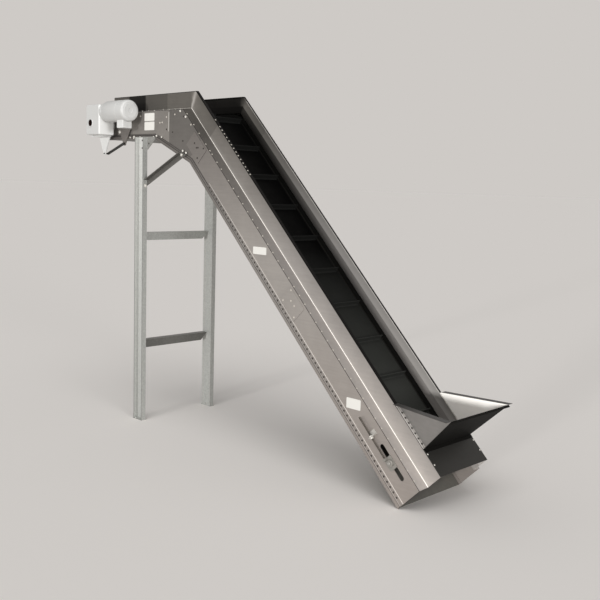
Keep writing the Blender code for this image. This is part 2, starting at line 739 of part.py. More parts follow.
def takeup_bracket(side, parent):
    """Angle bracket on the side plate, bored for the take-up screw."""
    name = f"{side}_takeup_bracket"
    low = TAKEUP_BRACKET_AT - TAKEUP_BRACKET_LENGTH / 2
    high = TAKEUP_BRACKET_AT + TAKEUP_BRACKET_LENGTH / 2
    flat = 0.006
    reach = TAKEUP_STANDOFF + 0.014
    section = [(low, -GAP), (high, -GAP), (high, -reach), (high - flat, -reach),
               (high - flat, -GAP - flat), (low, -GAP - flat)]
    rings = []
    for n in (-TAKEUP_BRACKET_BOTTOM, -TAKEUP_BRACKET_TOP):
        rings.append([DOWN * s + OUT * n + Vector((0, mirrored(y, side), 0)) for s, y in section])
    thing = add_object(name, loft_mesh(name, rings), bright_steel(), parent)
    bore = TAKEUP_SCREW_RADIUS + SHAFT_CLEARANCE
    start = DOWN * (low - 0.01) - OUT * TAKEUP_SCREW_DROP
    start.y = mirrored(-TAKEUP_STANDOFF, side)
    tool = turned_rings([(0, bore), (TAKEUP_BRACKET_LENGTH + 0.02, bore)], start, DOWN, 20)
    boolean(thing, cutter(f"{name}_bore", loft_mesh("bore", tool), parent), "DIFFERENCE")
    return thing


def takeup_screw(side, parent):
    """Long screw with two nuts at the bracket; its end meets the slide's lug."""
    name = f"{side}_takeup_screw"
    r = TAKEUP_SCREW_RADIUS
    face = TAKEUP_BRACKET_AT + TAKEUP_BRACKET_LENGTH / 2
    first = face - 0.006 - GAP - NUT_HEIGHT
    second = face + GAP
    end = TAIL_SHAFT_AT - TAKEUP_PLATE_LENGTH / 2 + 0.0005 - GAP
    s = TAKEUP_SCREW_START
    profile = [(0, r), (first - s, r), (first - s, NUT_RADIUS), (first - s + NUT_HEIGHT, NUT_RADIUS),
               (first - s + NUT_HEIGHT, r), (second - s, r), (second - s, NUT_RADIUS),
               (second - s + NUT_HEIGHT, NUT_RADIUS), (second - s + NUT_HEIGHT, r), (end - s, r)]
    start = DOWN * s - OUT * TAKEUP_SCREW_DROP
    start.y = mirrored(-TAKEUP_STANDOFF, side)
    thing = add_object(name, loft_mesh(name, turned_rings(profile, start, DOWN, 18)), bright_steel(), parent)
    smooth(thing)
    return thing


# Drive

def reducer_faces():
    """Head-end x, tail-end x, outer y and inner y of the gear reducer."""
    inner = -GAP - BEARING_DEPTH - 0.012
    x0 = HEAD_X - REDUCER_AHEAD
    return x0, x0 + REDUCER_LENGTH, inner - REDUCER_WIDTH, inner


def gear_reducer(parent):
    x0, x1, y0, y1 = reducer_faces()
    rings = box_rings((x0, y0, REDUCER_BOTTOM), (x1, y1, REDUCER_TOP))
    thing = add_object("gear_reducer", loft_mesh("gear_reducer", rings), white_paint(), parent)
    soften(thing, REDUCER_BEVEL, 3)
    ring = turned_rings([(-0.02, BORE_RING_RADIUS), (BORE_RING_HEIGHT, BORE_RING_RADIUS)],
                        (HEAD_X, y0, HEAD_Z), (0, -1, 0), 32)
    boolean(thing, cutter("bore_ring", loft_mesh("bore_ring", ring), parent), "UNION")
    hole = turned_rings([(-BORE_DEPTH, BORE_RADIUS), (0.02, BORE_RADIUS)],
                        (HEAD_X, y0, HEAD_Z), (0, -1, 0), 32)
    boolean(thing, cutter("bore_recess", loft_mesh("bore_recess", hole), parent), "DIFFERENCE")
    bore = HEAD_SHAFT_RADIUS + SHAFT_CLEARANCE
    through = turned_rings([(-0.2, bore), (0.02, bore)], (HEAD_X, y0, HEAD_Z), (0, -1, 0), 32)
    boolean(thing, cutter("shaft_bore", loft_mesh("shaft_bore", through), parent), "DIFFERENCE")
    return thing


def drive_motor(parent):
    x0, x1, y0, y1 = reducer_faces()
    e = MOTOR_END_BEVEL
    flange = MOTOR_FLANGE_LENGTH
    end = flange + MOTOR_LENGTH
    r = MOTOR_RADIUS
    profile = [(GAP, MOTOR_FLANGE_RADIUS), (flange * 0.55, MOTOR_FLANGE_RADIUS), (flange, r - e * 0.5),
               (flange + e * 0.5, r), (end - e, r), (end - e * 0.3, r - e * 0.3), (end, r - e)]
    rings = turned_rings(profile, (x1, (y0 + y1) / 2, MOTOR_AXIS_Z), (1, 0, 0), 40)
    thing = add_object("drive_motor", loft_mesh("drive_motor", rings), white_paint(), parent)
    smooth(thing)
    return thing


def conduit_box(parent):
    x0, x1, y0, y1 = reducer_faces()
    end = x1 + MOTOR_FLANGE_LENGTH + MOTOR_LENGTH - CONDUIT_FROM_END
    middle = (y0 + y1) / 2
    half = CONDUIT_WIDTH / 2
    bottom = MOTOR_AXIS_Z - MOTOR_RADIUS * 0.86 - CONDUIT_HEIGHT
    rings = box_rings((end - CONDUIT_LENGTH, middle - half, bottom), (end, middle + half, MOTOR_AXIS_Z))
    thing = add_object("conduit_box", loft_mesh("conduit_box", rings), white_paint(), parent)
    soften(thing, 0.004, 2)
    clear = MOTOR_RADIUS + GAP
    round_cut = turned_rings([(-CONDUIT_LENGTH, clear), (CONDUIT_LENGTH * 2, clear)],
                             (end - CONDUIT_LENGTH, middle, MOTOR_AXIS_Z), (1, 0, 0), 40)
    boolean(thing, cutter("motor_seat", loft_mesh("motor_seat", round_cut), parent), "DIFFERENCE")
    return thing


def torque_plane():
    """Outer and inner y of the torque arm's plate; it hangs under the reducer's inner face."""
    x0, x1, y0, y1 = reducer_faces()
    return y1 - 0.004 - ARM_PLATE_THICKNESS, y1 - 0.004


def torque_pins():
    x, z = HEAD_X, REDUCER_BOTTOM - ARM_TIP_DROP
    return (x, z), (-BRACKET_PIN_AHEAD, -BRACKET_PIN_DROP)


def torque_arm(parent):
    """Triangular plate under a foot that is bolted to the reducer's base."""
    (pin_x, pin_z), _ = torque_pins()
    y0, y1 = torque_plane()
    top = REDUCER_BOTTOM - GAP
    foot = top - ARM_PLATE_THICKNESS
    half = ARM_TOP_WIDTH / 2
    tip = [(pin_x + ARM_TIP_RADIUS * cos(t), pin_z - ARM_TIP_RADIUS * sin(t))
           for t in [pi * k / 6 for k in range(7)]]
    outline = [(pin_x - half, foot + 0.002), (pin_x + half, foot + 0.002)] + tip
    rings = prism_rings(outline, y0, y1)
    thing = add_object("torque_arm", loft_mesh("torque_arm", rings), white_paint(), parent)
    base = box_rings((HEAD_X - ARM_FOOT_LENGTH / 2, y1 - ARM_FOOT_WIDTH, foot),
                     (HEAD_X + ARM_FOOT_LENGTH / 2, y1, top))
    boolean(thing, cutter("arm_foot", loft_mesh("arm_foot", base), parent), "UNION")
    hole = PIN_RADIUS + SHAFT_CLEARANCE
    tool = turned_rings([(0, hole), (0.1, hole)], (pin_x, y0 - 0.05, pin_z), (0, 1, 0), 16)
    boolean(thing, cutter("arm_hole", loft_mesh("arm_hole", tool), parent), "DIFFERENCE")
    return thing


def torque_rod(parent):
    """Flat link with round ends against the bracket, with a fixed pin at each end."""
    (ax, az), (bx, bz) = torque_pins()
    arm_pin = torque_plane()[0] - 0.004
    y1 = GUSSET_INNER - BRACKET_THICKNESS - GAP
    y0 = y1 - ROD_THICKNESS
    way = atan2(bz - az, bx - ax)
    outline = []
    for (cx, cz), start in (((ax, az), way + pi / 2), ((bx, bz), way - pi / 2)):
        for k in range(9):
            t = start + pi * k / 8
            outline.append((cx + ROD_HALF * cos(t), cz + ROD_HALF * sin(t)))
    thing = add_object("torque_rod", loft_mesh("torque_rod", prism_rings(outline, y0, y1)),
                       dark_steel(), parent)
    pins = [turned_rings([(0, PIN_RADIUS), (y1 - 0.004 - arm_pin, PIN_RADIUS)],
                         (ax, arm_pin, az), (0, 1, 0), 16),
            turned_rings([(0, PIN_RADIUS), (GUSSET_INNER - y0 - 0.006, PIN_RADIUS)],
                         (bx, y0 + 0.004, bz), (0, 1, 0), 16)]
    boolean(thing, cutter("rod_pins", join_mesh("rod_pins", pins), parent), "UNION")
    return thing


def torque_bracket(parent):
    """Triangular plate on the near rail that holds the torque rod's pin."""
    _, (x, z) = torque_pins()
    top = -BRACKET_TOP_DROP
    tip = [(x + 0.016 * cos(t), z - 0.016 * sin(t)) for t in [pi * k / 6 for k in range(7)]]
    outline = [(x - BRACKET_HALF, top), (x + BRACKET_HALF, top)] + tip
    y1 = GUSSET_INNER
    rings = prism_rings(outline, y1 - BRACKET_THICKNESS, y1)
    thing = add_object("torque_bracket", loft_mesh("torque_bracket", rings), sheet_steel(), parent)
    hole = PIN_RADIUS + SHAFT_CLEARANCE
    tool = turned_rings([(0, hole), (0.05, hole)], (x, y1 - 0.03, z), (0, 1, 0), 16)
    boolean(thing, cutter("bracket_hole", loft_mesh("bracket_hole", tool), parent), "DIFFERENCE")
    return thing


# Legs and bracing

def leg(side, parent):
    """Channel with its web flat against the gusset and its flanges pointing outwards."""
    x0, x1 = -LEG_AHEAD, -LEG_AHEAD + LEG_WIDTH
    tip = WEB_INNER - LEG_FLANGE
    t = LEG_FLANGE_THICKNESS
    section = [(x0, WEB_INNER), (x0, tip), (x0 + t, tip), (x0 + t, WEB_OUTER),
               (x1 - t, WEB_OUTER), (x1 - t, tip), (x1, tip), (x1, WEB_INNER)]
    rings = []
    for z in (-NOSE_HEIGHT + FOOT_THICKNESS / 2, -LEG_TOP_DROP):
        rings.append([Vector((x, mirrored(y, side), z)) for x, y in section])
    name = f"{side}_leg"
    thing = add_object(name, loft_mesh(name, rings), galvanised_steel(), parent)
    y0, y1 = across(side, tip - FOOT_MARGIN, WEB_INNER + FOOT_MARGIN)
    foot = box_rings((x0 - FOOT_MARGIN, y0, -NOSE_HEIGHT),
                     (x1 + FOOT_MARGIN, y1, -NOSE_HEIGHT + FOOT_THICKNESS))
    boolean(thing, cutter(f"{name}_foot", loft_mesh("foot", foot), parent), "UNION")
    y2, y3 = across(side, WEB_OUTER - 0.01, WEB_INNER + 0.01)
    drills = [turned_rings([(0, LEG_HOLE_RADIUS), (y3 - y2, LEG_HOLE_RADIUS)],
                           (LEG_CENTRE_X, y2, height - NOSE_HEIGHT), (0, 1, 0), 16)
              for height in LEG_HOLE_HEIGHTS]
    boolean(thing, cutter(f"{name}_holes", join_mesh("leg_holes", drills), parent), "DIFFERENCE")
    return thing


def leg_gusset(side, parent):
    """Plate between the rail and the leg's web, wider than the leg towards the incline."""
    x0, x1 = -LEG_AHEAD, -LEG_AHEAD + LEG_WIDTH
    top = -LEG_TOP_DROP + 0.004
    low = top - GUSSET_HEIGHT
    outline = [(x0 - GUSSET_HEAD_OVERHANG, top), (x0 - GUSSET_HEAD_OVERHANG, top - GUSSET_STRAIGHT),
               (x0, low), (x1, low), (x1 + GUSSET_TAIL_OVERHANG, top - GUSSET_STRAIGHT),
               (x1 + GUSSET_TAIL_OVERHANG, top)]
    y0, y1 = across(side, GUSSET_INNER - GUSSET_THICKNESS, GUSSET_INNER)
    name = f"{side}_leg_gusset"
    return add_object(name, loft_mesh(name, prism_rings(outline, y0, y1)), galvanised_steel(), parent)


def cross_brace(name, top_drop, parent):
    """Angle between the legs' webs: upright leg cut at 45 degrees on the far end, flat leg on top."""
    x1 = -BRACE_FACE_AHEAD
    x0 = x1 - BRACE_THICKNESS
    top = -top_drop
    low = top - BRACE_LEG
    y0 = WEB_INNER + GAP
    y1 = OVERALL_WIDTH - WEB_INNER - GAP
    upright = [(y0, low), (y1 - BRACE_LEG, low), (y1, top), (y0, top)]
    rings = [[Vector((x, y, z)) for y, z in upright] for x in (x0, x1)]
    thing = add_object(name, loft_mesh(name, rings), galvanised_steel(), parent)
    flat = box_rings((x1 - BRACE_LEG, y0, top - BRACE_THICKNESS), (x1, y1, top))
    boolean(thing, cutter(f"{name}_flat", loft_mesh("flat", flat), parent), "UNION")
    return thing


def knee_brace(side, parent):
    """Angle from behind the leg's web up to the rail's outer face under the noseover.
    Its upper end is cut parallel to the chamfered underside."""
    foot = Vector((-LEG_AHEAD + LEG_WIDTH - KNEE_FOOT_BEHIND_WEB, 0, -KNEE_FOOT_DROP))
    head = Vector((KNEE_HEAD_X, 0, -KNEE_HEAD_DROP))
    run = (head - foot).normalized()
    rise = Vector((-run.z, 0, run.x))
    low = foot - run * KNEE_END
    half = KNEE_LEG / 2
    square = Vector((sin(INCLINE_ANGLE / 2), 0, cos(INCLINE_ANGLE / 2)))

    def cut_end(offset):
        start = low + rise * offset
        return start + run * ((head + square * KNEE_END - start).dot(square) / run.dot(square))

    corners = [low - rise * half, cut_end(-half), cut_end(half), low + rise * half]
    y0, y1 = across(side, GUSSET_INNER - KNEE_THICKNESS, GUSSET_INNER)
    name = f"{side}_knee_brace"
    plate = prism_rings([(p.x, p.z) for p in corners], y0, y1)
    thing = add_object(name, loft_mesh(name, plate), galvanised_steel(), parent)
    clear = (-LEG_AHEAD + LEG_WIDTH + 0.004 - low.x) / run.x
    start = low + run * (clear + half * abs(run.z) / run.x)
    under = half - KNEE_THICKNESS
    outline = [start + rise * under, cut_end(under), cut_end(half), start + rise * half]
    y2, y3 = across(side, GUSSET_INNER - KNEE_LEG, GUSSET_INNER)
    flat = prism_rings([(p.x, p.z) for p in outline], y2, y3)
    boolean(thing, cutter(f"{name}_flat", loft_mesh("flat", flat), parent), "UNION")
    return thing


# Hopper and tail cover

def wing_section(rise):
    """Foot on the skirt lip, panel leaning outwards over it, and rim turned outwards."""
    half = SHEET / 2
    base = SKIRT_TOP + GAP + half
    bend_y = LEDGE_WIDTH + HOPPER_FOOT
    top_y = bend_y - (bend_y - HOPPER_RIM_INSET) * rise / HOPPER_RISE
    line = [(LEDGE_WIDTH, base), (bend_y, base), (top_y, base + rise),
            (top_y - HOPPER_RIM_LIP, base + rise)]
    return strip(line, SHEET)


def hopper_wing(side, parent):
    """Side of the hopper; its rim is level in the world, so it rises over the lip with s."""
    name = f"{side}_hopper_wing"
    rings = [section_ring(wing_section(HOPPER_START_HEIGHT), incline_station(HOPPER_START), side),
             section_ring(wing_section(HOPPER_RISE), incline_station(HOPPER_FRONT), side)]
    return add_object(name, loft_mesh(name, rings), sheet_steel(), parent)


def hopper_front(parent):
    """Front plate square to the bed, wider at the rim, with a foot on the tail cover."""
    half = SHEET / 2
    base = SKIRT_TOP + 2 * GAP + SHEET + half
    rim = SKIRT_TOP + GAP + half + HOPPER_RISE
    s = HOPPER_FRONT + GAP + half
    line = [(s + FRONT_FOOT, base), (s, base), (s, rim), (s + FRONT_RIM_LIP, rim)]
    rings = []
    for side in (NEAR, FAR):
        ring = []
        for along, n in strip(line, SHEET):
            y = LEDGE_WIDTH - (LEDGE_WIDTH - HOPPER_RIM_INSET) * (n - SKIRT_TOP) / HOPPER_RISE
            ring.append(DOWN * along + OUT * n + Vector((0, mirrored(y, side), 0)))
        rings.append(ring)
    return add_object("hopper_front", loft_mesh("hopper_front", rings), dark_steel(), parent)


def tail_cover(parent):
    """Flat cover bolted on the skirt lips behind the hopper."""
    low, high = HOPPER_FRONT + GAP, INCLINE_LENGTH
    y0, y1 = LEDGE_WIDTH - COVER_OVERHANG, OVERALL_WIDTH - LEDGE_WIDTH + COVER_OVERHANG
    n0, n1 = SKIRT_TOP + GAP, SKIRT_TOP + GAP + SHEET
    outline = [on_incline(low, n0), on_incline(high, n0), on_incline(high, n1), on_incline(low, n1)]
    rings = prism_rings(outline, y0, y1)
    return add_object("tail_cover", loft_mesh("tail_cover", rings), dark_steel(), parent)


# Assembly

def build_side(side, frame):
    head_side(side, frame)
    incline_side(f"{side}_incline_side_upper", side, SIDE_SPLICE_NOSE + GAP / 2,
                 SIDE_SPLICE_MID - GAP / 2, False, frame)
    incline_side(f"{side}_incline_side_lower", side, SIDE_SPLICE_MID + GAP / 2,
                 INCLINE_LENGTH, True, frame)
    splice_plate(f"{side}_nose_splice", side, SIDE_SPLICE_NOSE, SPLICE_LENGTH_NOSE, frame)
    splice_plate(f"{side}_mid_splice", side, SIDE_SPLICE_MID, SPLICE_LENGTH_MID, frame)
    under = under_stations(-HEAD_LENGTH, INCLINE_LENGTH)
    nose = under_stations(-HEAD_LENGTH, NOSE_RAIL_END)
    lower_rail(f"{side}_nose_rail", side, RAIL_LAP_NOSE, nose, frame)
    slope = [(DOWN * (NOSE_RAIL_END + GAP) - OUT * PLATE_DEPTH, OUT.copy()), under[-1]]
    lower_rail(f"{side}_incline_rail", side, RAIL_LAP_INCLINE, slope, frame)
    skirts(side, frame)
    leg(side, frame)
    leg_gusset(side, frame)
    knee_brace(side, frame)
    hopper_wing(side, frame)
    takeup_slide(side, frame)
    takeup_bracket(side, frame)
    takeup_screw(side, frame)


def main():
    clear_scene()
    frame = frame_empty()
    for side in (NEAR, FAR):
        build_side(side, frame)
    slider_bed(frame)
    return_pan(frame)
    cleated_belt(frame)
    pulley("head_pulley", HEAD_X, HEAD_Z, HEAD_RADIUS, HEAD_SHAFT_RADIUS,
           HEAD_SHAFT_REACH, SHAFT_STUB + BEARING_DEPTH, frame)
    tail_x, tail_z = on_incline(TAIL_SHAFT_AT, -TAIL_DEPTH)
    pulley("tail_pulley", tail_x, tail_z, TAIL_RADIUS, TAIL_SHAFT_RADIUS, SHAFT_STUB, SHAFT_STUB, frame)
    flange_bearing("near_head_bearing", NEAR, HEAD_X, HEAD_Z, HEAD_SHAFT_RADIUS, -GAP, frame)
    flange_bearing("far_head_bearing", FAR, HEAD_X, HEAD_Z, HEAD_SHAFT_RADIUS, -GAP, frame)
    gear_reducer(frame)
    drive_motor(frame)
    conduit_box(frame)
    torque_arm(frame)
    torque_rod(frame)
    torque_bracket(frame)
    for name, drop in zip(("upper_cross_brace", "lower_cross_brace"), BRACE_TOP_DROPS):
        cross_brace(name, drop, frame)
    hopper_front(frame)
    tail_cover(frame)


main()
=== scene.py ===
# %% [markdown]
# # A noseover conveyor, dressed for a studio picture
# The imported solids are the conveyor's frame. Every new piece is placed from their own boxes, so it
# sits on what carries it from any side. The cells below build the thin sheet with its rounded bends,
# the cleated belt, the drive, the bolts and the finishes, one after another.

# %% Load the frame
import bpy
import numpy as np
from mathutils import Matrix, Vector


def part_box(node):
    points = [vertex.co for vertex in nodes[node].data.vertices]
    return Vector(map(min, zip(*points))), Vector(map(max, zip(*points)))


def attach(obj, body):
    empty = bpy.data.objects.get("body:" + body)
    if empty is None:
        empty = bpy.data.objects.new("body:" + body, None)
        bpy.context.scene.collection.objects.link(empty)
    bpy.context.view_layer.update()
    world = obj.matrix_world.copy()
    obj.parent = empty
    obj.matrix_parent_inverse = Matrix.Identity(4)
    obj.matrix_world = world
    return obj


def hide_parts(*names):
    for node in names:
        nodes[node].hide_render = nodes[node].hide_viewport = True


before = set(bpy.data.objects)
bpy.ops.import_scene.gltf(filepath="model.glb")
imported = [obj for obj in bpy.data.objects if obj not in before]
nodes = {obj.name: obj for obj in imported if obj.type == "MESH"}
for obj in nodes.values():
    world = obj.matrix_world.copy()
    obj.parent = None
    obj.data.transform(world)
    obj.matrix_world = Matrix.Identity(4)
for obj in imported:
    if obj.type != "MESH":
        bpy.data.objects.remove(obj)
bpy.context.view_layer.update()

# %% [markdown]
# ## The conveyor's own axes
# Everything on a conveyor is laid out from one corner: here the top outer edge of the near side
# plate, at the noseover. `s` runs down the incline from that corner, `n` stands square to the belt,
# `y` runs across. Two unit vectors turn them into world places, so that a row of bolts needs only
# its distances along the machine, as on a fabricator's drawing.

# %% Corner, directions and leading sizes
WIDTH = 0.655
HEAD_LENGTH = 1.039
INCLINE_LENGTH = 3.330
ANGLE = np.radians(45.0)
HALF_TAN = np.tan(ANGLE / 2)
SHEET = 0.003
GAP = 0.0003
plate_low, plate_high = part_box("near_head_side")
CORNER = np.array((plate_low.x + HEAD_LENGTH, plate_low.y, plate_high.z))
DOWN = np.array((np.cos(ANGLE), 0.0, -np.sin(ANGLE)))
OUT = np.array((np.sin(ANGLE), 0.0, np.cos(ANGLE)))
UP = np.array((0.0, 0.0, 1.0))
ACROSS = np.array((0.0, 1.0, 0.0))
SIDES = ("near", "far")
print("noseover corner:", CORNER.round(4))


def across(side, y):
    """y of the near side, or its mirror image on the far side."""
    return np.asarray(y) if side == "near" else WIDTH - np.asarray(y)


def on_incline(s, y, n):
    """World places: corner + s down the incline + y across + n square to the belt."""
    s, y, n = np.broadcast_arrays(s, y, n)
    return CORNER + s[..., None] * DOWN + y[..., None] * ACROSS + n[..., None] * OUT


def on_level(x, y, z):
    """World places from the corner, for pieces of the level run."""
    return CORNER + np.stack(np.broadcast_arrays(x, y, z), axis=-1)


# %% [markdown]
# ## Turning arrays into pieces
# A sheet-metal piece is a profile carried along a path, and a turned piece is a profile carried
# round an axis. Both give a grid of points, ring by ring. One helper joins the rings with quads,
# closes the ends, and turns the faces outwards if the signed volume comes out negative.

# %% Mesh helpers
COUNTS = {}
SHARP_ANGLE = np.radians(32.0)


def unit(vector):
    """The same direction with length 1."""
    vector = np.asarray(vector, float)
    return vector / np.linalg.norm(vector, axis=-1, keepdims=True)


def new_object(name, data):
    """An object of the scene that shows the data."""
    thing = bpy.data.objects.new(name, data)
    bpy.context.scene.collection.objects.link(thing)
    return thing


def outward(points, faces):
    """Signed volume = sum of a . (b x c) / 6 over a fan of each face; faces flip if it is negative."""
    quads = [f for f in faces if len(f) == 4]
    rest = [(f[0], f[i], f[i + 1]) for f in faces if len(f) != 4 for i in range(1, len(f) - 1)]
    tris = np.array([(q[0], q[1], q[2]) for q in quads] + [(q[0], q[2], q[3]) for q in quads] + rest)
    a, b, c = (points[tris[:, k]] for k in range(3))
    if np.einsum("ij,ij->i", a - points[0], np.cross(b - points[0], c - points[0])).sum() < 0:
        return [tuple(reversed(f)) for f in faces]
    return faces


def piece(name, points, faces, finish, slot, replaces=(), tone=None):
    """A finished object at the origin, smooth but for its sharp edges. `tone` gives each point a number
    of painted light for the finish: 1 painted highlight, 0 plain, -1 painted shade."""
    mesh = bpy.data.meshes.new(name)
    mesh.from_pydata(np.asarray(points).tolist(), [], faces)
    mesh.validate()
    mesh.shade_smooth()
    mesh.set_sharp_from_angle(angle=SHARP_ANGLE)
    mesh.materials.append(finish)
    if tone is not None:
        mesh.attributes.new("tone", "FLOAT", "POINT").data.foreach_set("value", np.ravel(tone))
    thing = new_object(name, mesh)
    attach(thing, "root")
    if replaces:
        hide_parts(*replaces)
    COUNTS[name] = sum(len(f) - 2 for f in faces)
    return thing


def ring_faces(rings, count, closed_path=False):
    """Quads (i,j), (i,j+1), (i+1,j+1), (i+1,j) between neighbouring rings, whose points wrap."""
    i = np.arange(rings if closed_path else rings - 1)[:, None]
    j = np.arange(count)[None, :]
    k, l = (i + 1) % rings, (j + 1) % count
    quads = np.stack((i * count + j, i * count + l, k * count + l, k * count + j), axis=-1)
    return [tuple(q) for q in quads.reshape(-1, 4).tolist()]


def tube_mesh(grid, closed_path=False):
    """Points and faces of one closed skin through a (rings, count, 3) grid, its ends capped."""
    rings, count = grid.shape[:2]
    points = grid.reshape(-1, 3)
    faces = ring_faces(rings, count, closed_path)
    if not closed_path:
        faces += [tuple(range(count)), tuple(range((rings - 1) * count, rings * count))[::-1]]
    return points, outward(points, faces)


def merged(parts):
    """Several (points, faces) pairs as one, each keeping its own closed skin."""
    points, faces, start = [], [], 0
    for p, f in parts:
        points.append(p)
        faces += [tuple(v + start for v in face) for face in f]
        start += len(p)
    return np.concatenate(points), faces


# %% [markdown]
# ## Finishes shared by several materials
# Real sheet is never one flat colour: it has the mill's rolling grain, cloudy patches, fine
# scratches and a little dust. Each effect is a node group that puts out only masks, colours or
# heights, so that every material can place it with its own strength.

# %% A small kit for node trees
def node(tree, kind, **values):
    """A new node with its settings, laid out in rows of eight in the editor."""
    row, column = divmod(len(tree.nodes), 8)
    made = tree.nodes.new(kind)
    made.location = (220 * column, -300 * row)
    for key, value in values.items():
        setattr(made, key, value)
    return made


def feed(tree, socket, value):
    """Links another socket to this one, or writes a plain value into it."""
    if isinstance(value, bpy.types.NodeSocket):
        tree.links.new(value, socket)
    else:
        socket.default_value = value


def wired(tree, kind, output, inputs, **values):
    """A node whose inputs are fed by name or number; gives back one output."""
    made = node(tree, kind, **values)
    for key, value in inputs.items():
        feed(tree, made.inputs[key], value)
    return made.outputs[output]


def new_group(name, inputs, outputs):
    """A shader group with number sockets, its input sockets, and its end node."""
    group = bpy.data.node_groups.new(name, "ShaderNodeTree")
    for label, value in inputs:
        socket = group.interface.new_socket(label, in_out="INPUT", socket_type="NodeSocketFloat")
        socket.default_value = value
    for label in outputs:
        group.interface.new_socket(label, in_out="OUTPUT", socket_type="NodeSocketFloat")
    return group, node(group, "NodeGroupInput").outputs, node(group, "NodeGroupOutput")


def object_place(tree):
    return node(tree, "ShaderNodeTexCoord").outputs["Object"]


def mapped(tree, stretch=(1, 1, 1), turn=0.0):
    """Object coordinates, stretched, and turned about the machine's cross axis."""
    return wired(tree, "ShaderNodeMapping", "Vector",
                 {"Vector": object_place(tree), "Scale": stretch, "Rotation": (0, turn, 0)})


def noise(tree, scale, detail, roughness, stretch=(1, 1, 1), turn=0.0):
    return wired(tree, "ShaderNodeTexNoise", "Fac",
                 {"Vector": mapped(tree, stretch, turn), "Scale": scale, "Detail": detail,
                  "Roughness": roughness})


def spread(tree, value, low, high, to_low=0.0, to_high=1.0):
    """Map Range: value from low..high to to_low..to_high, clamped."""
    return wired(tree, "ShaderNodeMapRange", "Result",
                 {"Value": value, "From Min": low, "From Max": high, "To Min": to_low, "To Max": to_high})


def mix(tree, factor, a, b):
    """Mix of two colours; each input is a socket or a plain value."""
    made = node(tree, "ShaderNodeMix", data_type="RGBA")
    for socket, value in zip([s for s in made.inputs if s.enabled], (factor, a, b)):
        feed(tree, socket, value)
    return next(s for s in made.outputs if s.enabled)


def maths(tree, operation, a, b=0.0):
    return wired(tree, "ShaderNodeMath", "Value", {0: a, 1: b}, operation=operation)


def shade(tree, colour, factor):
    """A colour times a number."""
    return wired(tree, "ShaderNodeVectorMath", "Vector", {0: colour, "Scale": factor}, operation="SCALE")


def axes(tree, vector):
    """The X, Y and Z outputs of a vector."""
    split = node(tree, "ShaderNodeSeparateXYZ")
    feed(tree, split.inputs["Vector"], vector)
    return split.outputs


def facing(tree):
    """X, Y and Z of the way that a face looks."""
    return axes(tree, node(tree, "ShaderNodeNewGeometry").outputs["Normal"])


# %% Rolling grain, cloudy patches, zinc crystals and dust
def build_mill_finish():
    """Tone = cloud noise blended with grain drawn out along the incline; height from the grain."""
    group, given, ends = new_group("mill_finish", [("Cloud", 0.5), ("Grain", 0.5)], ["Tone", "Height"])
    cloud = noise(group, 7.0, 4.0, 0.6)
    grain = noise(group, 60.0, 3.0, 0.7, (0.05, 1, 1), ANGLE)
    soft = maths(group, "MULTIPLY", maths(group, "SUBTRACT", cloud, 0.5), given["Cloud"])
    fine = maths(group, "MULTIPLY", maths(group, "SUBTRACT", grain, 0.5), given["Grain"])
    feed(group, ends.inputs["Tone"], maths(group, "ADD", maths(group, "ADD", soft, fine), 0.5))
    feed(group, ends.inputs["Height"], grain)
    return group


def build_spangle():
    """Tone = the random value of flat zinc crystals a few millimetres wide."""
    group, given, ends = new_group("zinc_spangle", [("Scale", 120.0)], ["Tone"])
    cells = wired(group, "ShaderNodeTexVoronoi", "Color",
                  {"Vector": object_place(group), "Scale": given["Scale"]})
    feed(group, ends.inputs["Tone"], wired(group, "ShaderNodeSeparateColor", "Red", {"Color": cells}))
    return group


def build_dust():
    """Mask = patchy noise that gathers on faces that look upwards."""
    group, given, ends = new_group("dust", [("Amount", 0.3)], ["Mask"])
    patches = spread(group, noise(group, 22.0, 5.0, 0.65), 0.45, 0.75)
    upward = spread(group, facing(group)["Z"], -0.2, 0.9, 0.15, 1.0)
    mask = maths(group, "MULTIPLY", maths(group, "MULTIPLY", patches, upward), given["Amount"])
    feed(group, ends.inputs["Mask"], mask)
    return group


MILL_FINISH, SPANGLE, DUST = build_mill_finish(), build_spangle(), build_dust()
print("shared groups:", [g.name for g in bpy.data.node_groups])


# %% Steps that every material takes
def placed(tree, group, **values):
    """A shared group with its own values; gives back its outputs."""
    made = node(tree, "ShaderNodeGroup", node_tree=group)
    for key, value in values.items():
        made.inputs[key].default_value = value
    return made.outputs


def new_material(name, roughness, metallic, specular=0.5):
    made = bpy.data.materials.new(name)
    made.use_nodes = True
    shader = made.node_tree.nodes["Principled BSDF"]
    shader.inputs["Roughness"].default_value = roughness
    shader.inputs["Metallic"].default_value = metallic
    shader.inputs["Specular IOR Level"].default_value = specular
    return made, made.node_tree, shader


def coat(tree, shader, colour, roughness, height, strength, distance=0.001):
    """Colour, roughness and a bump from the height, all into the shader."""
    feed(tree, shader.inputs["Base Color"], colour)
    feed(tree, shader.inputs["Roughness"], roughness)
    normal = wired(tree, "ShaderNodeBump", "Normal",
                   {"Height": height, "Strength": strength, "Distance": distance})
    feed(tree, shader.inputs["Normal"], normal)


def dusted(tree, colour, amount, dust_colour):
    return mix(tree, placed(tree, DUST, Amount=amount)["Mask"], colour, dust_colour)


def rgb(*colour):
    """sRGB 0..255 to the linear colour that renders as that."""
    c = np.array(colour) / 255.0
    return (*np.where(c <= 0.04045, c / 12.92, ((c + 0.055) / 1.055) ** 2.4).tolist(), 1.0)
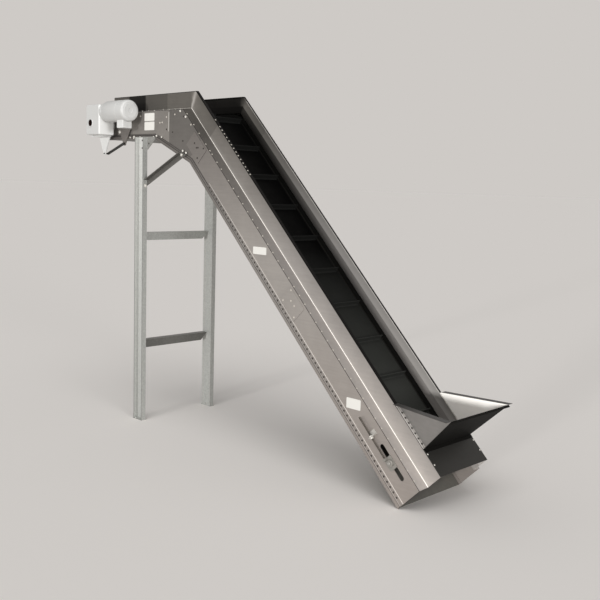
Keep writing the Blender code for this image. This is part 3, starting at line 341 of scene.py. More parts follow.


# %% [markdown]
# ## Sheet steel
# The side plates, skirts and rails are bare formed steel: a warm grey, half matt, with the grain
# running down the incline. The colour is blended by height, and the head end is painted darker than
# the tail: painted shade. The mesh also carries a tone of painted light, which darkens or brightens
# the colour: painted highlights on bends and rims, painted shade, and painted reflections of the
# dark belt on the polished uprights.

# %% Sheet materials
def painted_light_mix(tree, colour, bright, dark):
    """Painted light from the mesh's tone attribute: above 0 it mixes in the painted highlight colour,
    below 0 the painted shade colour.
    """
    tone = node(tree, "ShaderNodeAttribute", attribute_name="tone").outputs["Fac"]
    lighter = mix(tree, spread(tree, tone, 0.0, 1.0), colour, bright)
    return mix(tree, spread(tree, tone, 0.0, -1.0), lighter, dark)


def sheet_material(name, tail, middle, head, metallic=0.5, roughness=0.42, dust=0.1, seam=None,
                   specular=0.5):
    """Three colours by height, painted darker towards the head end: painted shade; past a seam's x the
    colour is multiplied by the seam's grey.
    """
    made, tree, shader = new_material(name, roughness, metallic, specular)
    finish = placed(tree, MILL_FINISH, Cloud=0.5, Grain=0.35)
    place = axes(tree, object_place(tree))
    base = mix(tree, spread(tree, place["Z"], 0.1, 1.3), tail, middle)
    base = mix(tree, spread(tree, place["Z"], 1.5, 2.5), base, head)
    if seam:
        at, grey = seam
        base = shade(tree, base, spread(tree, place["X"], at - 0.001, at + 0.001, 1.0, grey))
    base = shade(tree, base, spread(tree, finish["Tone"], 0.2, 0.8, 0.82, 1.18))
    # The tone's bright colour is a painted highlight and its dark colour a painted shade.
    colour = painted_light_mix(tree, dusted(tree, base, dust, rgb(160, 154, 147)), rgb(250, 246, 240),
                      rgb(12, 11, 10))
    rough = spread(tree, finish["Tone"], 0.2, 0.8, roughness + 0.09, roughness - 0.09)
    coat(tree, shader, colour, rough, finish["Height"], 0.06)
    return made


TAIL_GREY, MIDDLE_GREY = rgb(156, 148, 142), rgb(160, 155, 150)
HEAD_SEAM = CORNER[0] - 0.170, 0.60
side_sheet = sheet_material("side_sheet", TAIL_GREY, MIDDLE_GREY, rgb(103, 98, 94))
head_sheet = sheet_material("head_sheet", rgb(158, 149, 142), rgb(162, 156, 151), rgb(129, 125, 120),
                            seam=HEAD_SEAM)
skirt_sheet = sheet_material("skirt_sheet", rgb(182, 176, 171), rgb(168, 163, 159), rgb(122, 118, 112),
                             specular=0.1)
# The slider bed is the sheet steel painted near black, darkest at the head end: painted shade inside the
# trough.
bed_sheet = sheet_material("bed_sheet", rgb(40, 39, 37), rgb(30, 29, 27), rgb(12, 12, 11), 0.3, 0.6,
                           dust=0.02, specular=0.1)
pan_sheet = sheet_material("pan_sheet", rgb(112, 110, 104), rgb(110, 107, 102), rgb(90, 87, 82), 0.4, 0.5)
hopper_sheet = sheet_material("hopper_sheet", *[rgb(186, 182, 178)] * 3, metallic=0.4)


# %% Plain finishes
def plain_material(name, colour, roughness, metallic, variation=0.1, dust=0.1, grain=0.03, specular=0.5,
                   end=None):
    """One finish colour, made lighter and darker by the shared cloud and grain, with light dust. An
    end colour goes on the faces that look along the machine to its tail: painted light on those faces."""
    made, tree, shader = new_material(name, roughness, metallic, specular)
    finish = placed(tree, MILL_FINISH, Cloud=0.6, Grain=0.3)
    tone = spread(tree, finish["Tone"], 0.2, 0.8, 1 - variation, 1 + variation)
    colour = dusted(tree, shade(tree, colour[:3], tone), dust, rgb(178, 172, 164))
    if end:
        colour = mix(tree, spread(tree, facing(tree)["X"], 0.5, 0.9), colour, end)
    rough = spread(tree, finish["Tone"], 0.2, 0.8, roughness + 0.06, roughness - 0.06)
    coat(tree, shader, colour, rough, finish["Height"], grain)
    return made


def enamel(name, grey, end=None):
    return plain_material(name, rgb(*grey), 0.35, 0.0, 0.02, 0.04, 0.05, end=end and rgb(*end))


# case_enamel and motor_enamel are the white enamel with painted light on their tail-facing faces; the
# enamel of the conduit box and the torque arm is the same white, painted lighter: painted light.
white_enamel = enamel("white_enamel", (189, 189, 187))
case_enamel = enamel("case_enamel", (189, 189, 187), (238, 238, 236))
motor_enamel = enamel("motor_enamel", (189, 189, 187), (206, 206, 204))
painted_light_enamel = enamel("painted_light_enamel", (210, 210, 208))
dark_plate = plain_material("dark_plate", rgb(31, 30, 27), 0.5, 0.1, 0.15, 0.0)
black_plate = plain_material("black_plate", rgb(16, 15, 13), 0.7, 0.0, 0.2, 0.0, specular=0.1)
bore_brown = plain_material("bore_brown", rgb(44, 26, 20), 0.6, 0.0, 0.2, 0.0, specular=0.2)
screw_steel = plain_material("screw_steel", rgb(82, 77, 70), 0.4, 0.5)
bright_steel = plain_material("turned_steel", rgb(190, 188, 184), 0.3, 0.85, 0.08, 0.05)
zinc_bolt = plain_material("zinc_bolt", rgb(222, 219, 212), 0.35, 0.3, 0.1, 0.05)
zinc_plate = plain_material("zinc_plate", rgb(184, 181, 175), 0.35, 0.35, 0.1, 0.05)
slide_plate = plain_material("slide_plate", rgb(142, 139, 133), 0.35, 0.4, 0.2, 0.05)
worn_bolt = plain_material("worn_bolt", rgb(196, 191, 182), 0.4, 0.3, 0.1, 0.05)
dark_bolt = plain_material("dark_bolt", rgb(70, 66, 62), 0.45, 0.5, 0.1, 0.05)
blank_label = plain_material("blank_label", rgb(216, 214, 208), 0.4, 0.0, 0.02, 0.08, 0.01)

# %% [markdown]
# ## Zinc and rubber
# The supports are hot-dip galvanised, so their grey is a patchwork of crystals. A Voronoi texture
# gives each cell one random value, which shifts both colour and gloss. The belt is matt black,
# greyer towards the tail and darker towards the head end, and its ribs are painted lighter: painted
# light.

# %% Zinc
LEG_AHEAD, LEG_WIDTH, LEG_WEB_OUT, LEG_TIP_OUT = 0.546, 0.112, 0.0173, 0.0553
HAIR = 0.0002


def channel_light(tree, colour):
    """The open inside of a leg's channel gets a painted highlight, most towards the top, and the
    flanges' cut tips get painted shade. Masks come from x along the machine and from how far out y lies."""
    place = axes(tree, object_place(tree))
    middle, edge = float(CORNER[1]) + WIDTH / 2, WIDTH / 2
    out = maths(tree, "ABSOLUTE", maths(tree, "SUBTRACT", place["Y"], middle))
    front = float(CORNER[0]) - LEG_AHEAD
    back = front + LEG_WIDTH
    inside = spread(tree, out, edge + LEG_WEB_OUT - HAIR, edge + LEG_WEB_OUT + HAIR)
    ahead = spread(tree, place["X"], front + 0.006, front + 0.010, 0.3, 1.0)
    behind = spread(tree, place["X"], back - 0.006, back - 0.004, 1, 0)
    mask = maths(tree, "MULTIPLY", inside, maths(tree, "MULTIPLY", ahead, behind))
    rise = spread(tree, place["Z"], 0.2, 2.2, 0.18, 0.55)
    lit = mix(tree, maths(tree, "MULTIPLY", mask, rise), colour, rgb(236, 236, 233))
    tips = spread(tree, out, edge + LEG_TIP_OUT - HAIR, edge + LEG_TIP_OUT, 0, 0.5)
    return mix(tree, tips, lit, rgb(60, 60, 58))


def galvanised_material(name, grey, channel=False):
    """Zinc coat: spangle crystals shift both the grey and the gloss."""
    made, tree, shader = new_material(name, 0.45, 0.35)
    crystals = placed(tree, SPANGLE, Scale=110.0)["Tone"]
    colour = shade(tree, rgb(*grey)[:3], spread(tree, crystals, 0, 1, 0.9, 1.1))
    colour = dusted(tree, colour, 0.2, rgb(150, 146, 138))
    if channel:
        colour = channel_light(tree, colour)
    coat(tree, shader, colour, spread(tree, crystals, 0, 1, 0.52, 0.38), crystals, 0.02)
    return made


galvanised = galvanised_material("galvanised", (172, 173, 169))
leg_zinc = galvanised_material("leg_zinc", (172, 173, 169), channel=True)
# The gussets, knee braces and lower cross brace take the same zinc painted darker: painted shade.
gusset_zinc = galvanised_material("gusset_zinc", (142, 141, 137))
shaded_zinc = galvanised_material("shaded_zinc", (104, 103, 99))
knee_zinc = galvanised_material("knee_zinc", (98, 96, 92))


# %% Rubber
def belt_material():
    """Black rubber over fabric: a fine square weave in the height, and grey dust worked in. The
    colour darkens with height, and the tone lightens the ribs: painted light.
    """
    made, tree, shader = new_material("belt_rubber", 0.6, 0.0, 0.05)
    threads = [wired(tree, "ShaderNodeTexWave", "Fac",
                     {"Vector": mapped(tree, turn=turn), "Scale": 120.0, "Distortion": 0.6})
               for turn in (ANGLE, ANGLE + np.pi / 2)]
    rub = noise(tree, 9.0, 5.0, 0.65)
    height = spread(tree, axes(tree, object_place(tree))["Z"], 0.3, 1.5)
    plain = mix(tree, height, rgb(62, 63, 60), rgb(2, 2, 2))
    worn = mix(tree, maths(tree, "MULTIPLY", spread(tree, rub, 0.3, 0.75), 0.02), plain, rgb(70, 71, 69))
    colour = painted_light_mix(tree, worn, rgb(120, 121, 118), rgb(4, 4, 4))
    coat(tree, shader, colour, spread(tree, rub, 0.3, 0.75, 0.66, 0.52), maths(tree, "ADD", *threads),
         0.05, 0.0006)
    return made


belt_rubber = belt_material()
print("materials:", len(bpy.data.materials))

# %% [markdown]
# ## Formed sheet with rounded bends
# A press brake leaves a rounded bend, and that small curve is what catches the light as a bright
# line along the whole machine. A plain box edge would stay dull. So each skirt and rail is drawn
# again as a line with arcs at its corners, thickened to both sides, and carried along the
# conveyor's path with a mitred turn at the noseover.

# %% Bent line and carried profile
def bent_line(corners, radius, guard, steps=5):
    """A polyline whose inner corners are arcs: each arc starts radius * tan(turn / 2) before its
    corner, and its points turn evenly. A guard point on the flat at both sides keeps what is
    painted on a bend from spreading, and a corner that doesn't turn is one point. Returns points,
    left normals, and the bend's number or 0."""
    corners = np.asarray(corners, float)
    ways = unit(np.diff(corners, axis=0))
    left = np.stack((-ways[:, 1], ways[:, 0]), axis=1)
    points, normals, bends = [corners[:1]], [left[:1]], [0]
    for i in range(1, len(corners) - 1):
        turn = np.arctan2(np.cross(ways[i - 1], ways[i]), ways[i - 1] @ ways[i])
        if abs(turn) < 1e-6:
            points.append(corners[i:i + 1])
            normals.append(left[i:i + 1])
            bends.append(i)
            continue
        back = radius * np.tan(abs(turn) / 2)
        sign = np.sign(turn)
        centre = corners[i] - ways[i - 1] * back + left[i - 1] * radius * sign
        t = np.linspace(0, turn, steps + 1)
        turned = np.stack((left[i - 1, 0] * np.cos(t) - left[i - 1, 1] * np.sin(t),
                           left[i - 1, 0] * np.sin(t) + left[i - 1, 1] * np.cos(t)), axis=1)
        points += [corners[i:i + 1] - ways[i - 1] * (back + guard), centre - turned * radius * sign,
                   corners[i:i + 1] + ways[i] * (back + guard)]
        normals += [turned[:1], turned, turned[-1:]]
        bends += [0] + [i] * (steps + 1) + [0]
    points.append(corners[-1:])
    normals.append(left[-1:])
    return np.concatenate(points), np.concatenate(normals), np.array(bends + [0])


def sheet_profile(corners, radius=0.0045, guard=0.0015):
    """Closed outline: the bent line moved half the sheet's thickness to each side. The second array
    says which bend each point belongs to, positive on the left side and negative on the right one."""
    line, normal, bends = bent_line(corners, radius, guard)
    outline = np.concatenate((line + normal * SHEET / 2, (line - normal * SHEET / 2)[::-1]))
    return outline, np.concatenate((bends, -bends[::-1]))


def carried(profile, stations, side):
    """Grid of profile points (y, n) at each station: origin + n * way + y across."""
    origins = np.array([s[0] for s in stations])[:, None, :]
    ways = np.array([s[1] for s in stations])[:, None, :]
    y = across(side, profile[None, :, 0:1])
    return CORNER + origins + ways * profile[None, :, 1:2] + y * ACROSS


def level_at(x):
    return np.array((x, 0.0, 0.0)), UP


def incline_at(s):
    return DOWN * s, OUT


def mitre(origin, a, b):
    """Station where two runs meet, halfway between their ways and longer by the cut's slant."""
    return origin, (a + b) / (1 + a @ b)


# %% [markdown]
# ## Skirts
# Each skirt is one folded sheet: a ledge that covers the side plate's top, an upright that holds
# the goods on the belt, and a lip folded inwards for stiffness. Light and shade are painted onto it:
# every point of the profile gets a tone at each station, with painted highlights on bends and rims,
# painted shade on the ledge, lip and edge, and on the upright's inner face painted shade and a painted
# reflection of the dark belt. On the near side the motor's cast shadow is painted in at two stations
# of its own.

# %% Skirts
LEDGE_WIDTH, LEDGE_RISE, SKIRT_HEIGHT, LIP_WIDTH = 0.077, 0.0136, 0.1274, 0.025
SKIRT_TOP = LEDGE_RISE + SKIRT_HEIGHT
PAINTED_SHADE_TOP, RIM_WIDTH, EDGE_WIDTH = 0.070, 0.002, 0.002
UPRIGHT_Y, LIP_END, LIP_N = LEDGE_WIDTH + SHEET / 2, LEDGE_WIDTH + LIP_WIDTH, SKIRT_TOP - SHEET / 2
SKIRT_JOINT_LEVEL, SKIRT_JOINT_INCLINE, MITRE_REACH = 0.300, 0.310, 0.003
LEDGE_SLOPE = (LEDGE_RISE - SHEET) / LEDGE_WIDTH


def ledge_middle(y):
    """Height of the ledge's middle line at y."""
    return GAP + SHEET / 2 + y * LEDGE_SLOPE


skirt_profile, skirt_bends = sheet_profile([
    (0.0, ledge_middle(0)), (EDGE_WIDTH, ledge_middle(EDGE_WIDTH)), (UPRIGHT_Y, ledge_middle(UPRIGHT_Y)),
    (UPRIGHT_Y, PAINTED_SHADE_TOP - 0.002), (UPRIGHT_Y, PAINTED_SHADE_TOP), (UPRIGHT_Y, LIP_N),
    (LIP_END - RIM_WIDTH - 0.0005, LIP_N), (LIP_END - RIM_WIDTH, LIP_N), (LIP_END, LIP_N)])
SKIRT_RIM = skirt_profile[:, 0] > LIP_END - RIM_WIDTH - 0.0001
SHADE_FOOT, SHADE_HEAD = 0.02, 0.12


def painted_skirt_light(ledge, bend, low, high, inner_low, inner_high, rim=-1.0):
    """Painted light of each profile point: painted shade on the edge, then the ledge, a painted highlight
    on the bend, the upright from its foot to its head, and painted shade on the lip, with its rim. The
    inner face is painted darker up to a line: painted shade and a painted reflection of the belt."""
    y, n = skirt_profile.T
    outer = np.arange(len(y)) < len(y) // 2
    share = np.clip((n - SHADE_FOOT) / (SHADE_HEAD - SHADE_FOOT), 0, 1)
    upright = np.where(outer, low + (high - low) * share,
                       np.where(n < PAINTED_SHADE_TOP - 0.001, inner_low, inner_high))
    tone = np.where(y < LEDGE_WIDTH - 0.003, ledge, upright)
    tone[outer & (abs(skirt_bends) == 2)] = bend
    tone[n > SKIRT_TOP - SHEET * 1.4] = -1.0
    tone[y < 0.001] = -1.0
    tone[SKIRT_RIM] = rim
    return tone


# Painted light at the stations: the second row is the motor's painted shadow, the mitre's row a painted
# highlight.
HEAD_TONE = painted_skirt_light(-0.6, 0.1, -0.42, -0.5, -0.98, -0.96)
MOTOR_SHADOW_TONE = painted_skirt_light(-0.8, -0.5, -0.97, -0.95, -0.98, -0.96)
NOSE_TONE = painted_skirt_light(-0.5, 0.35, -0.25, -0.3, -0.98, -0.94)
MITRE_TONE = painted_skirt_light(-0.5, 0.6, 0.45, 0.3, -0.98, -0.6)
OVERLAP_TONE = painted_skirt_light(-0.56, 0.3, -0.12, -0.46, -0.85, -0.2, 0.3)
JOINT_TONE = painted_skirt_light(-0.5, 0.6, 0.12, -0.3, -0.82, -0.05, 0.5)
TAIL_TONE = painted_skirt_light(0.04, 0.9, 0.12, -0.16, 0.05, 0.4, 1.0)
skirt_runs = {
    "head_skirt": ([level_at(-HEAD_LENGTH), level_at(-SKIRT_JOINT_LEVEL - GAP)], [HEAD_TONE, HEAD_TONE]),
    "nose_skirt": ([level_at(-SKIRT_JOINT_LEVEL), level_at(-MITRE_REACH), mitre(np.zeros(3), UP, OUT),
                    incline_at(MITRE_REACH), incline_at(SKIRT_JOINT_INCLINE)],
                   [NOSE_TONE, NOSE_TONE, MITRE_TONE, JOINT_TONE, OVERLAP_TONE]),
    "incline_skirt": ([incline_at(SKIRT_JOINT_INCLINE + GAP), incline_at(INCLINE_LENGTH)],
                      [JOINT_TONE, TAIL_TONE])}
behind_motor = [level_at(x) for x in (-HEAD_LENGTH, -0.83, -0.81, -0.595, -0.585,
                                      -SKIRT_JOINT_LEVEL - GAP)]
for side in SIDES:
    for run, (stations, tones) in skirt_runs.items():
        # The near head skirt carries the motor's painted shadow from x -0.81 to -0.595.
        if (side, run) == ("near", "head_skirt"):
            stations, tones = behind_motor, [HEAD_TONE] * 2 + [MOTOR_SHADOW_TONE] * 2 + [HEAD_TONE] * 2
        # The near lip's rim is painted dark: painted shade; the far rim keeps its painted highlight.
        if side == "near":
            tones = [np.where(SKIRT_RIM, -1.0, tone) for tone in tones]
        grid = carried(skirt_profile, stations, side)
        piece(f"{side}_{run}_formed", *tube_mesh(grid), skirt_sheet, "sheet_steel", [f"{side}_{run}"],
              tone=np.concatenate(tones))
print("skirt profile points:", len(skirt_profile))

# %% [markdown]
# ## Lower rails
# The rail laps the side plate, steps outwards over the bolt row, drops to its bottom bend and
# turns in under the pan. Under the noseover it follows the filled corner in three straight runs.

# %% Rails
PLATE_DEPTH, RAIL_DEPTH, CHAMFER_RUN, RAIL_FOOT, JOGGLE = 0.183, 0.216, 0.270, 0.030, 0.005
UNDER_BEND = PLATE_DEPTH * HALF_TAN + CHAMFER_RUN
NOSE_RAIL_END = 0.620
QUARTER = np.array((np.sin(ANGLE / 2), 0.0, np.cos(ANGLE / 2)))


def rail_profile(lap):
    """Lap, joggle, drop and foot, with n counted from the side plate's bottom edge."""
    lap_y, drop_y = -GAP - SHEET / 2, -GAP - SHEET / 2 - JOGGLE
    foot_n = PLATE_DEPTH - RAIL_DEPTH + SHEET / 2
    edge = lap - min(0.006, lap / 2)
    profile, bends = sheet_profile([(lap_y, lap), (lap_y, edge), (lap_y, -0.001), (drop_y, -0.007),
                                    (drop_y, foot_n), (RAIL_FOOT, foot_n)], 0.0025)
    # Painted light: painted shade on the bends, and on the lap's top edge a painted highlight where the
    # lap is wide and painted shade where it is narrow.
    tone = np.select([abs(bends) == 2, abs(bends) == 3, abs(bends) == 4], [-0.6, -0.75, -0.2], -0.05)
    tone[profile[:, 1] > edge + 0.0008] = 0.85 if lap > 0.01 else -0.9
    return profile, tone


def under_at(x=None, s=None):
    """Stations of the underside: on the level run at x, or on the incline at s."""
    if s is None:
        return np.array((x, 0.0, -PLATE_DEPTH)), UP
    return DOWN * s - OUT * PLATE_DEPTH, OUT


nose_run = [under_at(x=-HEAD_LENGTH), mitre(under_at(x=-UNDER_BEND)[0], UP, QUARTER),
            mitre(under_at(s=UNDER_BEND)[0], OUT, QUARTER), under_at(s=NOSE_RAIL_END)]
slope_run = [under_at(s=NOSE_RAIL_END + GAP), under_at(s=INCLINE_LENGTH)]
# Each run's tone is shifted darker, most at its upper end: painted shade.
RAIL_RUNS = (("nose_rail", 0.007, nose_run, [-0.2] * 4), ("incline_rail", 0.025, slope_run, [-0.28, 0.0]))
for side in SIDES:
    for run, lap, stations, steps in RAIL_RUNS:
        profile, tone = rail_profile(lap)
        grid = carried(profile, stations, side)
        piece(f"{side}_{run}_formed", *tube_mesh(grid), side_sheet, "sheet_steel", [f"{side}_{run}"],
              tone=np.concatenate([np.maximum(tone + step, -1.0) for step in steps]))
print("underside bends at", round(UNDER_BEND, 4))

# %% [markdown]
# ## Hopper wings
# A wing is the same kind of folded sheet, but its panel grows along the machine: two profiles of
# equally many points, one at each end, are joined by straight lines. The rim comes out level.

# %% Wings
HOPPER_START, HOPPER_FRONT, HOPPER_RISE, START_RISE = 2.805, 3.133, 0.328, 0.006
WING_FOOT, RIM_INSET, RIM_LIP = 0.0235, 0.015, 0.050
FOOT_POINTS, PANEL_POINTS = 7, 12


def wing_profile(rise):
    """Foot on the skirt lip, panel leaning outwards, rim turned outwards at height rise."""
    base, bend = SKIRT_TOP + GAP + SHEET / 2, LEDGE_WIDTH + WING_FOOT
    top = bend - (bend - RIM_INSET) * rise / HOPPER_RISE
    return sheet_profile([(LEDGE_WIDTH, base), (bend, base), (top, base + rise),
                          (top - RIM_LIP, base + rise)], 0.002, guard=0.0006)


for side in SIDES:
    ends = [wing_profile(START_RISE), wing_profile(HOPPER_RISE)]
    grid = np.concatenate([carried(profile, [incline_at(s)], side)
                           for (profile, _), s in zip(ends, (HOPPER_START, HOPPER_FRONT))])
    count = len(ends[0][1]) // 2
    place = np.arange(count)
    # Painted light: a painted highlight on the outer foot and the inner face, painted shade on the outer
    # panel and on the rim.
    outer = np.where(place < FOOT_POINTS, 0.4, np.where(place > PANEL_POINTS, -0.95, -0.5))
    inner = np.where(place > PANEL_POINTS, -0.95, 0.95)
    piece(f"{side}_hopper_wing_formed", *tube_mesh(grid), hopper_sheet, "sheet_steel",
          [f"{side}_hopper_wing"], tone=np.tile(np.concatenate((outer, inner[::-1])), 2))
print("wing profile points:", 2 * count)

# %% [markdown]
# ## Cleated belt
# The belt is an endless rubber band with ribs across it. Its middle line is two pulley arcs and
# two bends joined by straight runs, so every point is known from a centre, a radius and an angle.
# The ribs are one profile carried across the belt, set at even distances along that line.

# %% Belt line
BELT_WIDTH, BELT_THICKNESS, BELT_DROP = 0.457, 0.005, 0.0195
HEAD_RADIUS, TAIL_RADIUS, HEAD_INSET, TAIL_AT = 0.0635, 0.0435, 0.060, 3.088
NOSE_RADIUS, RETURN_RADIUS, CLEAT_PHASE, CLEAT_PITCH = 0.250, 0.450, 0.061, 0.305
NOSE_STEPS = 12
CLEAT_PAINTED_LIGHT = 0.06
MID = BELT_THICKNESS / 2
HEAD_X = -HEAD_LENGTH + HEAD_INSET
HEAD_Z = -BELT_DROP - BELT_THICKNESS - HEAD_RADIUS
TAIL_N = -BELT_DROP - BELT_THICKNESS - TAIL_RADIUS


def arc(centre, radius, start, turn, steps):
    """Points centre + radius * (sin t, cos t), t from start through turn, and those directions."""
    t = np.linspace(start, start + turn, steps + 1)
    way = np.stack((np.sin(t), np.cos(t)), axis=1)
    return np.asarray(centre) + way * radius, way


def belt_line():
    """Nose bend, tail pulley, bend of the return run, head pulley; outward normals alongside."""
    tail = (DOWN * TAIL_AT + OUT * TAIL_N)[[0, 2]]
    head_r, tail_r, drop = HEAD_RADIUS + MID, TAIL_RADIUS + MID, BELT_DROP + MID
    bend = np.array((-(drop + 2 * head_r) * HALF_TAN - RETURN_RADIUS * HALF_TAN,
                     HEAD_Z - head_r - RETURN_RADIUS))
    gap = tail - bend
    slope = np.arctan2(gap[0], gap[1]) - np.arccos((RETURN_RADIUS + tail_r) / np.hypot(*gap))
    nose_centre = (-NOSE_RADIUS * HALF_TAN, -NOSE_RADIUS)
    parts = [arc(nose_centre, NOSE_RADIUS - drop, 0, ANGLE, NOSE_STEPS),
             arc(tail, tail_r, ANGLE, np.pi - ANGLE + slope, 36)]
    p, w = arc(bend, RETURN_RADIUS, slope, -slope, 10)
    parts += [(p, -w), arc((HEAD_X, HEAD_Z), head_r, np.pi, np.pi, 40)]
    return np.concatenate([q[0] for q in parts]), np.concatenate([q[1] for q in parts])


line, line_out = belt_line()
steps = np.linalg.norm(np.diff(np.vstack((line, line[:1])), axis=0), axis=1)
marks = np.concatenate(([0.0], np.cumsum(steps)))
cleat_count = int(round(marks[-1] / CLEAT_PITCH))
print("belt length:", round(marks[-1], 3), "cleats:", cleat_count)


# %% Belt and cleats
def closed_interp(distance, values):
    wrapped = np.vstack((values, values[:1]))
    return np.stack([np.interp(distance, marks, wrapped[:, k]) for k in range(2)], axis=1)


def lift(points2d, y):
    """(x, z) pairs and y across to world places."""
    return CORNER + np.stack((points2d[..., 0], np.broadcast_to(y, points2d.shape[:-1]),
                              points2d[..., 1]), axis=-1)


def belt_skin():
    """Rectangle with rounded long edges, carried round the closed line."""
    r = MID * 0.9
    t = np.linspace(0, np.pi, 5)
    half = BELT_WIDTH / 2 - r
    edge_y = np.concatenate((half + r * np.sin(t), -half - r * np.sin(t)))
    edge_n = np.concatenate((MID * np.cos(t), -MID * np.cos(t)))
    grid = lift(line[:, None, :] + line_out[:, None, :] * edge_n[None, :, None],
                WIDTH / 2 + edge_y[None, :])
    return tube_mesh(grid, closed_path=True)


def cleat_skins():
    """Rib: wide foot with a hollow fillet, tapering blade and rounded tip, across the belt."""
    foot, root, tip, height, pad, fillet, bare, chamfer = (0.0145, 0.0050, 0.0033, 0.0388, 0.0012, 0.0085,
                                                           0.015, 0.002)
    t = np.linspace(0, np.pi / 2, 5)
    fillet_u, fillet_h = foot - (foot - root) * np.sin(t), pad + fillet * (1 - np.cos(t))
    cap = np.linspace(0, np.pi / 2, 4)
    cap_u, cap_h = tip * np.cos(cap), height - tip + tip * np.sin(cap)
    u = np.concatenate(([foot], fillet_u, cap_u))
    h = np.concatenate(([-0.001], fillet_h, cap_h))
    profile = np.stack((np.concatenate((u, -u[::-1])), np.concatenate((h, h[::-1]))), axis=1)
    first = marks[NOSE_STEPS + 1] + CLEAT_PHASE
    at = (first + np.arange(cleat_count) * marks[-1] / cleat_count) % marks[-1]
    place, out = closed_interp(at, line), unit(closed_interp(at, line_out))
    run = np.stack((out[:, 1], -out[:, 0]), axis=1)
    half = BELT_WIDTH / 2 - bare
    end = np.array((-half, -half + chamfer, half - chamfer, half))
    shrink = np.array((0.96, 1.0, 1.0, 0.96))
    parts = []
    for p, o, r in zip(place, out, run):
        flat = p + r * profile[:, 0:1] + o * (MID + profile[:, 1:2])
        rings = [lift(p + (flat - p) * k, WIDTH / 2 + e) for k, e in zip(shrink, end)]
        parts.append(tube_mesh(np.stack(rings)))
    return parts


skin, cleats = belt_skin(), cleat_skins()
# The ribs get a positive tone: painted light on their faces.
painted_cleat_light = np.concatenate((np.zeros(len(skin[0])), np.full(sum(len(c[0]) for c in cleats), CLEAT_PAINTED_LIGHT)))
piece("belt_with_cleats", *merged([skin] + cleats), belt_rubber, "belt_rubber", ["cleated_belt"],
      tone=painted_cleat_light)
print("belt triangles:", COUNTS["belt_with_cleats"])

# %% [markdown]
# ## Turned pieces
# Pulleys, shafts and the motor's shell are turned: a profile of distance along the axis and radius
# swept round it. The profile's own arcs give the end bell its soft shoulder.

# %% Turned helper, motor and pulleys
def turned(profile, origin, axis, count):
    """Rings at origin + along * axis, radius r round it: (cos t, sin t) on two side directions."""
    axis = np.asarray(axis, float)
    side = unit(np.cross(axis, UP if abs(axis[2]) < 0.9 else ACROSS))
    other = np.cross(axis, side)
    t = np.linspace(0, 2 * np.pi, count, endpoint=False)
    round_it = np.cos(t)[:, None] * side + np.sin(t)[:, None] * other
    profile = np.asarray(profile, float)
    middle = np.asarray(origin) + profile[:, 0:1] * axis
    return middle[:, None, :] + profile[:, 1][:, None, None] * round_it[None]


def shoulder(a0, r0, a1, r1, steps=6):
    """Quarter ellipse from (a0, r0) to (a1, r1), leaving along the axis."""
    t = np.linspace(0, np.pi / 2, steps)
    return [(a0 + (a1 - a0) * np.sin(k), r1 + (r0 - r1) * np.cos(k)) for k in t]


motor_low, motor_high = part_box("drive_motor")
MOTOR_R = (motor_high.y - motor_low.y) / 2
motor_axis = np.array((motor_low.x, (motor_low.y + motor_high.y) / 2, (motor_low.z + motor_high.z) / 2))
MOTOR_LEN = motor_high.x - motor_low.x
motor_profile = [(0.0, 0.0735), (0.020, 0.0740), (0.022, 0.0725), (0.036, 0.0725)]
motor_profile += shoulder(0.052, MOTOR_R - 0.001, 0.036, 0.0725)[::-1]
motor_profile += [(0.054, MOTOR_R), (0.238, MOTOR_R), (0.239, MOTOR_R - 0.0012),
                  (0.242, MOTOR_R - 0.0012), (0.243, MOTOR_R)]
motor_profile += shoulder(MOTOR_LEN - 0.026, MOTOR_R, MOTOR_LEN - 0.004, MOTOR_R - 0.020, 8)
motor_profile += [(MOTOR_LEN - 0.004, MOTOR_R - 0.024), (MOTOR_LEN - 0.001, MOTOR_R - 0.027),
                  (MOTOR_LEN - 0.001, 0.020), (MOTOR_LEN - 0.003, 0.017), (MOTOR_LEN - 0.003, 0.002)]
piece("motor_shell", *tube_mesh(turned(motor_profile, motor_axis, (1, 0, 0), 72)), motor_enamel,
      "white_paint", ["drive_motor"])
print("motor radius and length:", round(MOTOR_R, 4), round(MOTOR_LEN, 4))


DRUM, CHAMFER, END_DEPTH, END_PLATE, CROWN_LOW, CROWN_HIGH = 0.475, 0.0015, 0.010, 0.004, 0.0022, 0.0009


def pulley_piece(name, radius, shaft):
    """Shaft over the node's whole length, and in the machine's middle the crowned drum between two
    sunk end plates, its far half the mirror image of its near one."""
    low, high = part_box(name)
    long = high.y - low.y
    centre = np.array(((low.x + high.x) / 2, low.y, (low.z + high.z) / 2))
    start = CORNER[1] + (WIDTH - DRUM) / 2 - low.y
    half = [(0.0, shaft), (0.0, radius - END_DEPTH), (END_PLATE, radius - END_DEPTH),
            (END_PLATE, radius - CROWN_LOW), (DRUM / 3, radius - CROWN_HIGH)]
    drum = [(start + along, r) for along, r in half + [(DRUM - along, r) for along, r in half[::-1]]]
    profile = [(0.0, shaft - CHAMFER), (CHAMFER, shaft), *drum, (long - CHAMFER, shaft),
               (long, shaft - CHAMFER)]
    return piece(f"{name}_turned", *tube_mesh(turned(profile, centre, (0, 1, 0), 48)), bright_steel,
                 "bright_steel", [name])


pulley_piece("head_pulley", HEAD_RADIUS, 0.019)
pulley_piece("tail_pulley", TAIL_RADIUS, 0.0095)

# %% [markdown]
# ## Bolts
# A conveyor is held together by hundreds of small bolts in straight rows. One bolt is a stack of
# rings on twelve directions: a round washer, then a hexagon whose radius is the flat distance
# divided by the cosine of the angle from the nearest flat. A row is that stack copied by array
# arithmetic, one mesh for a whole row.

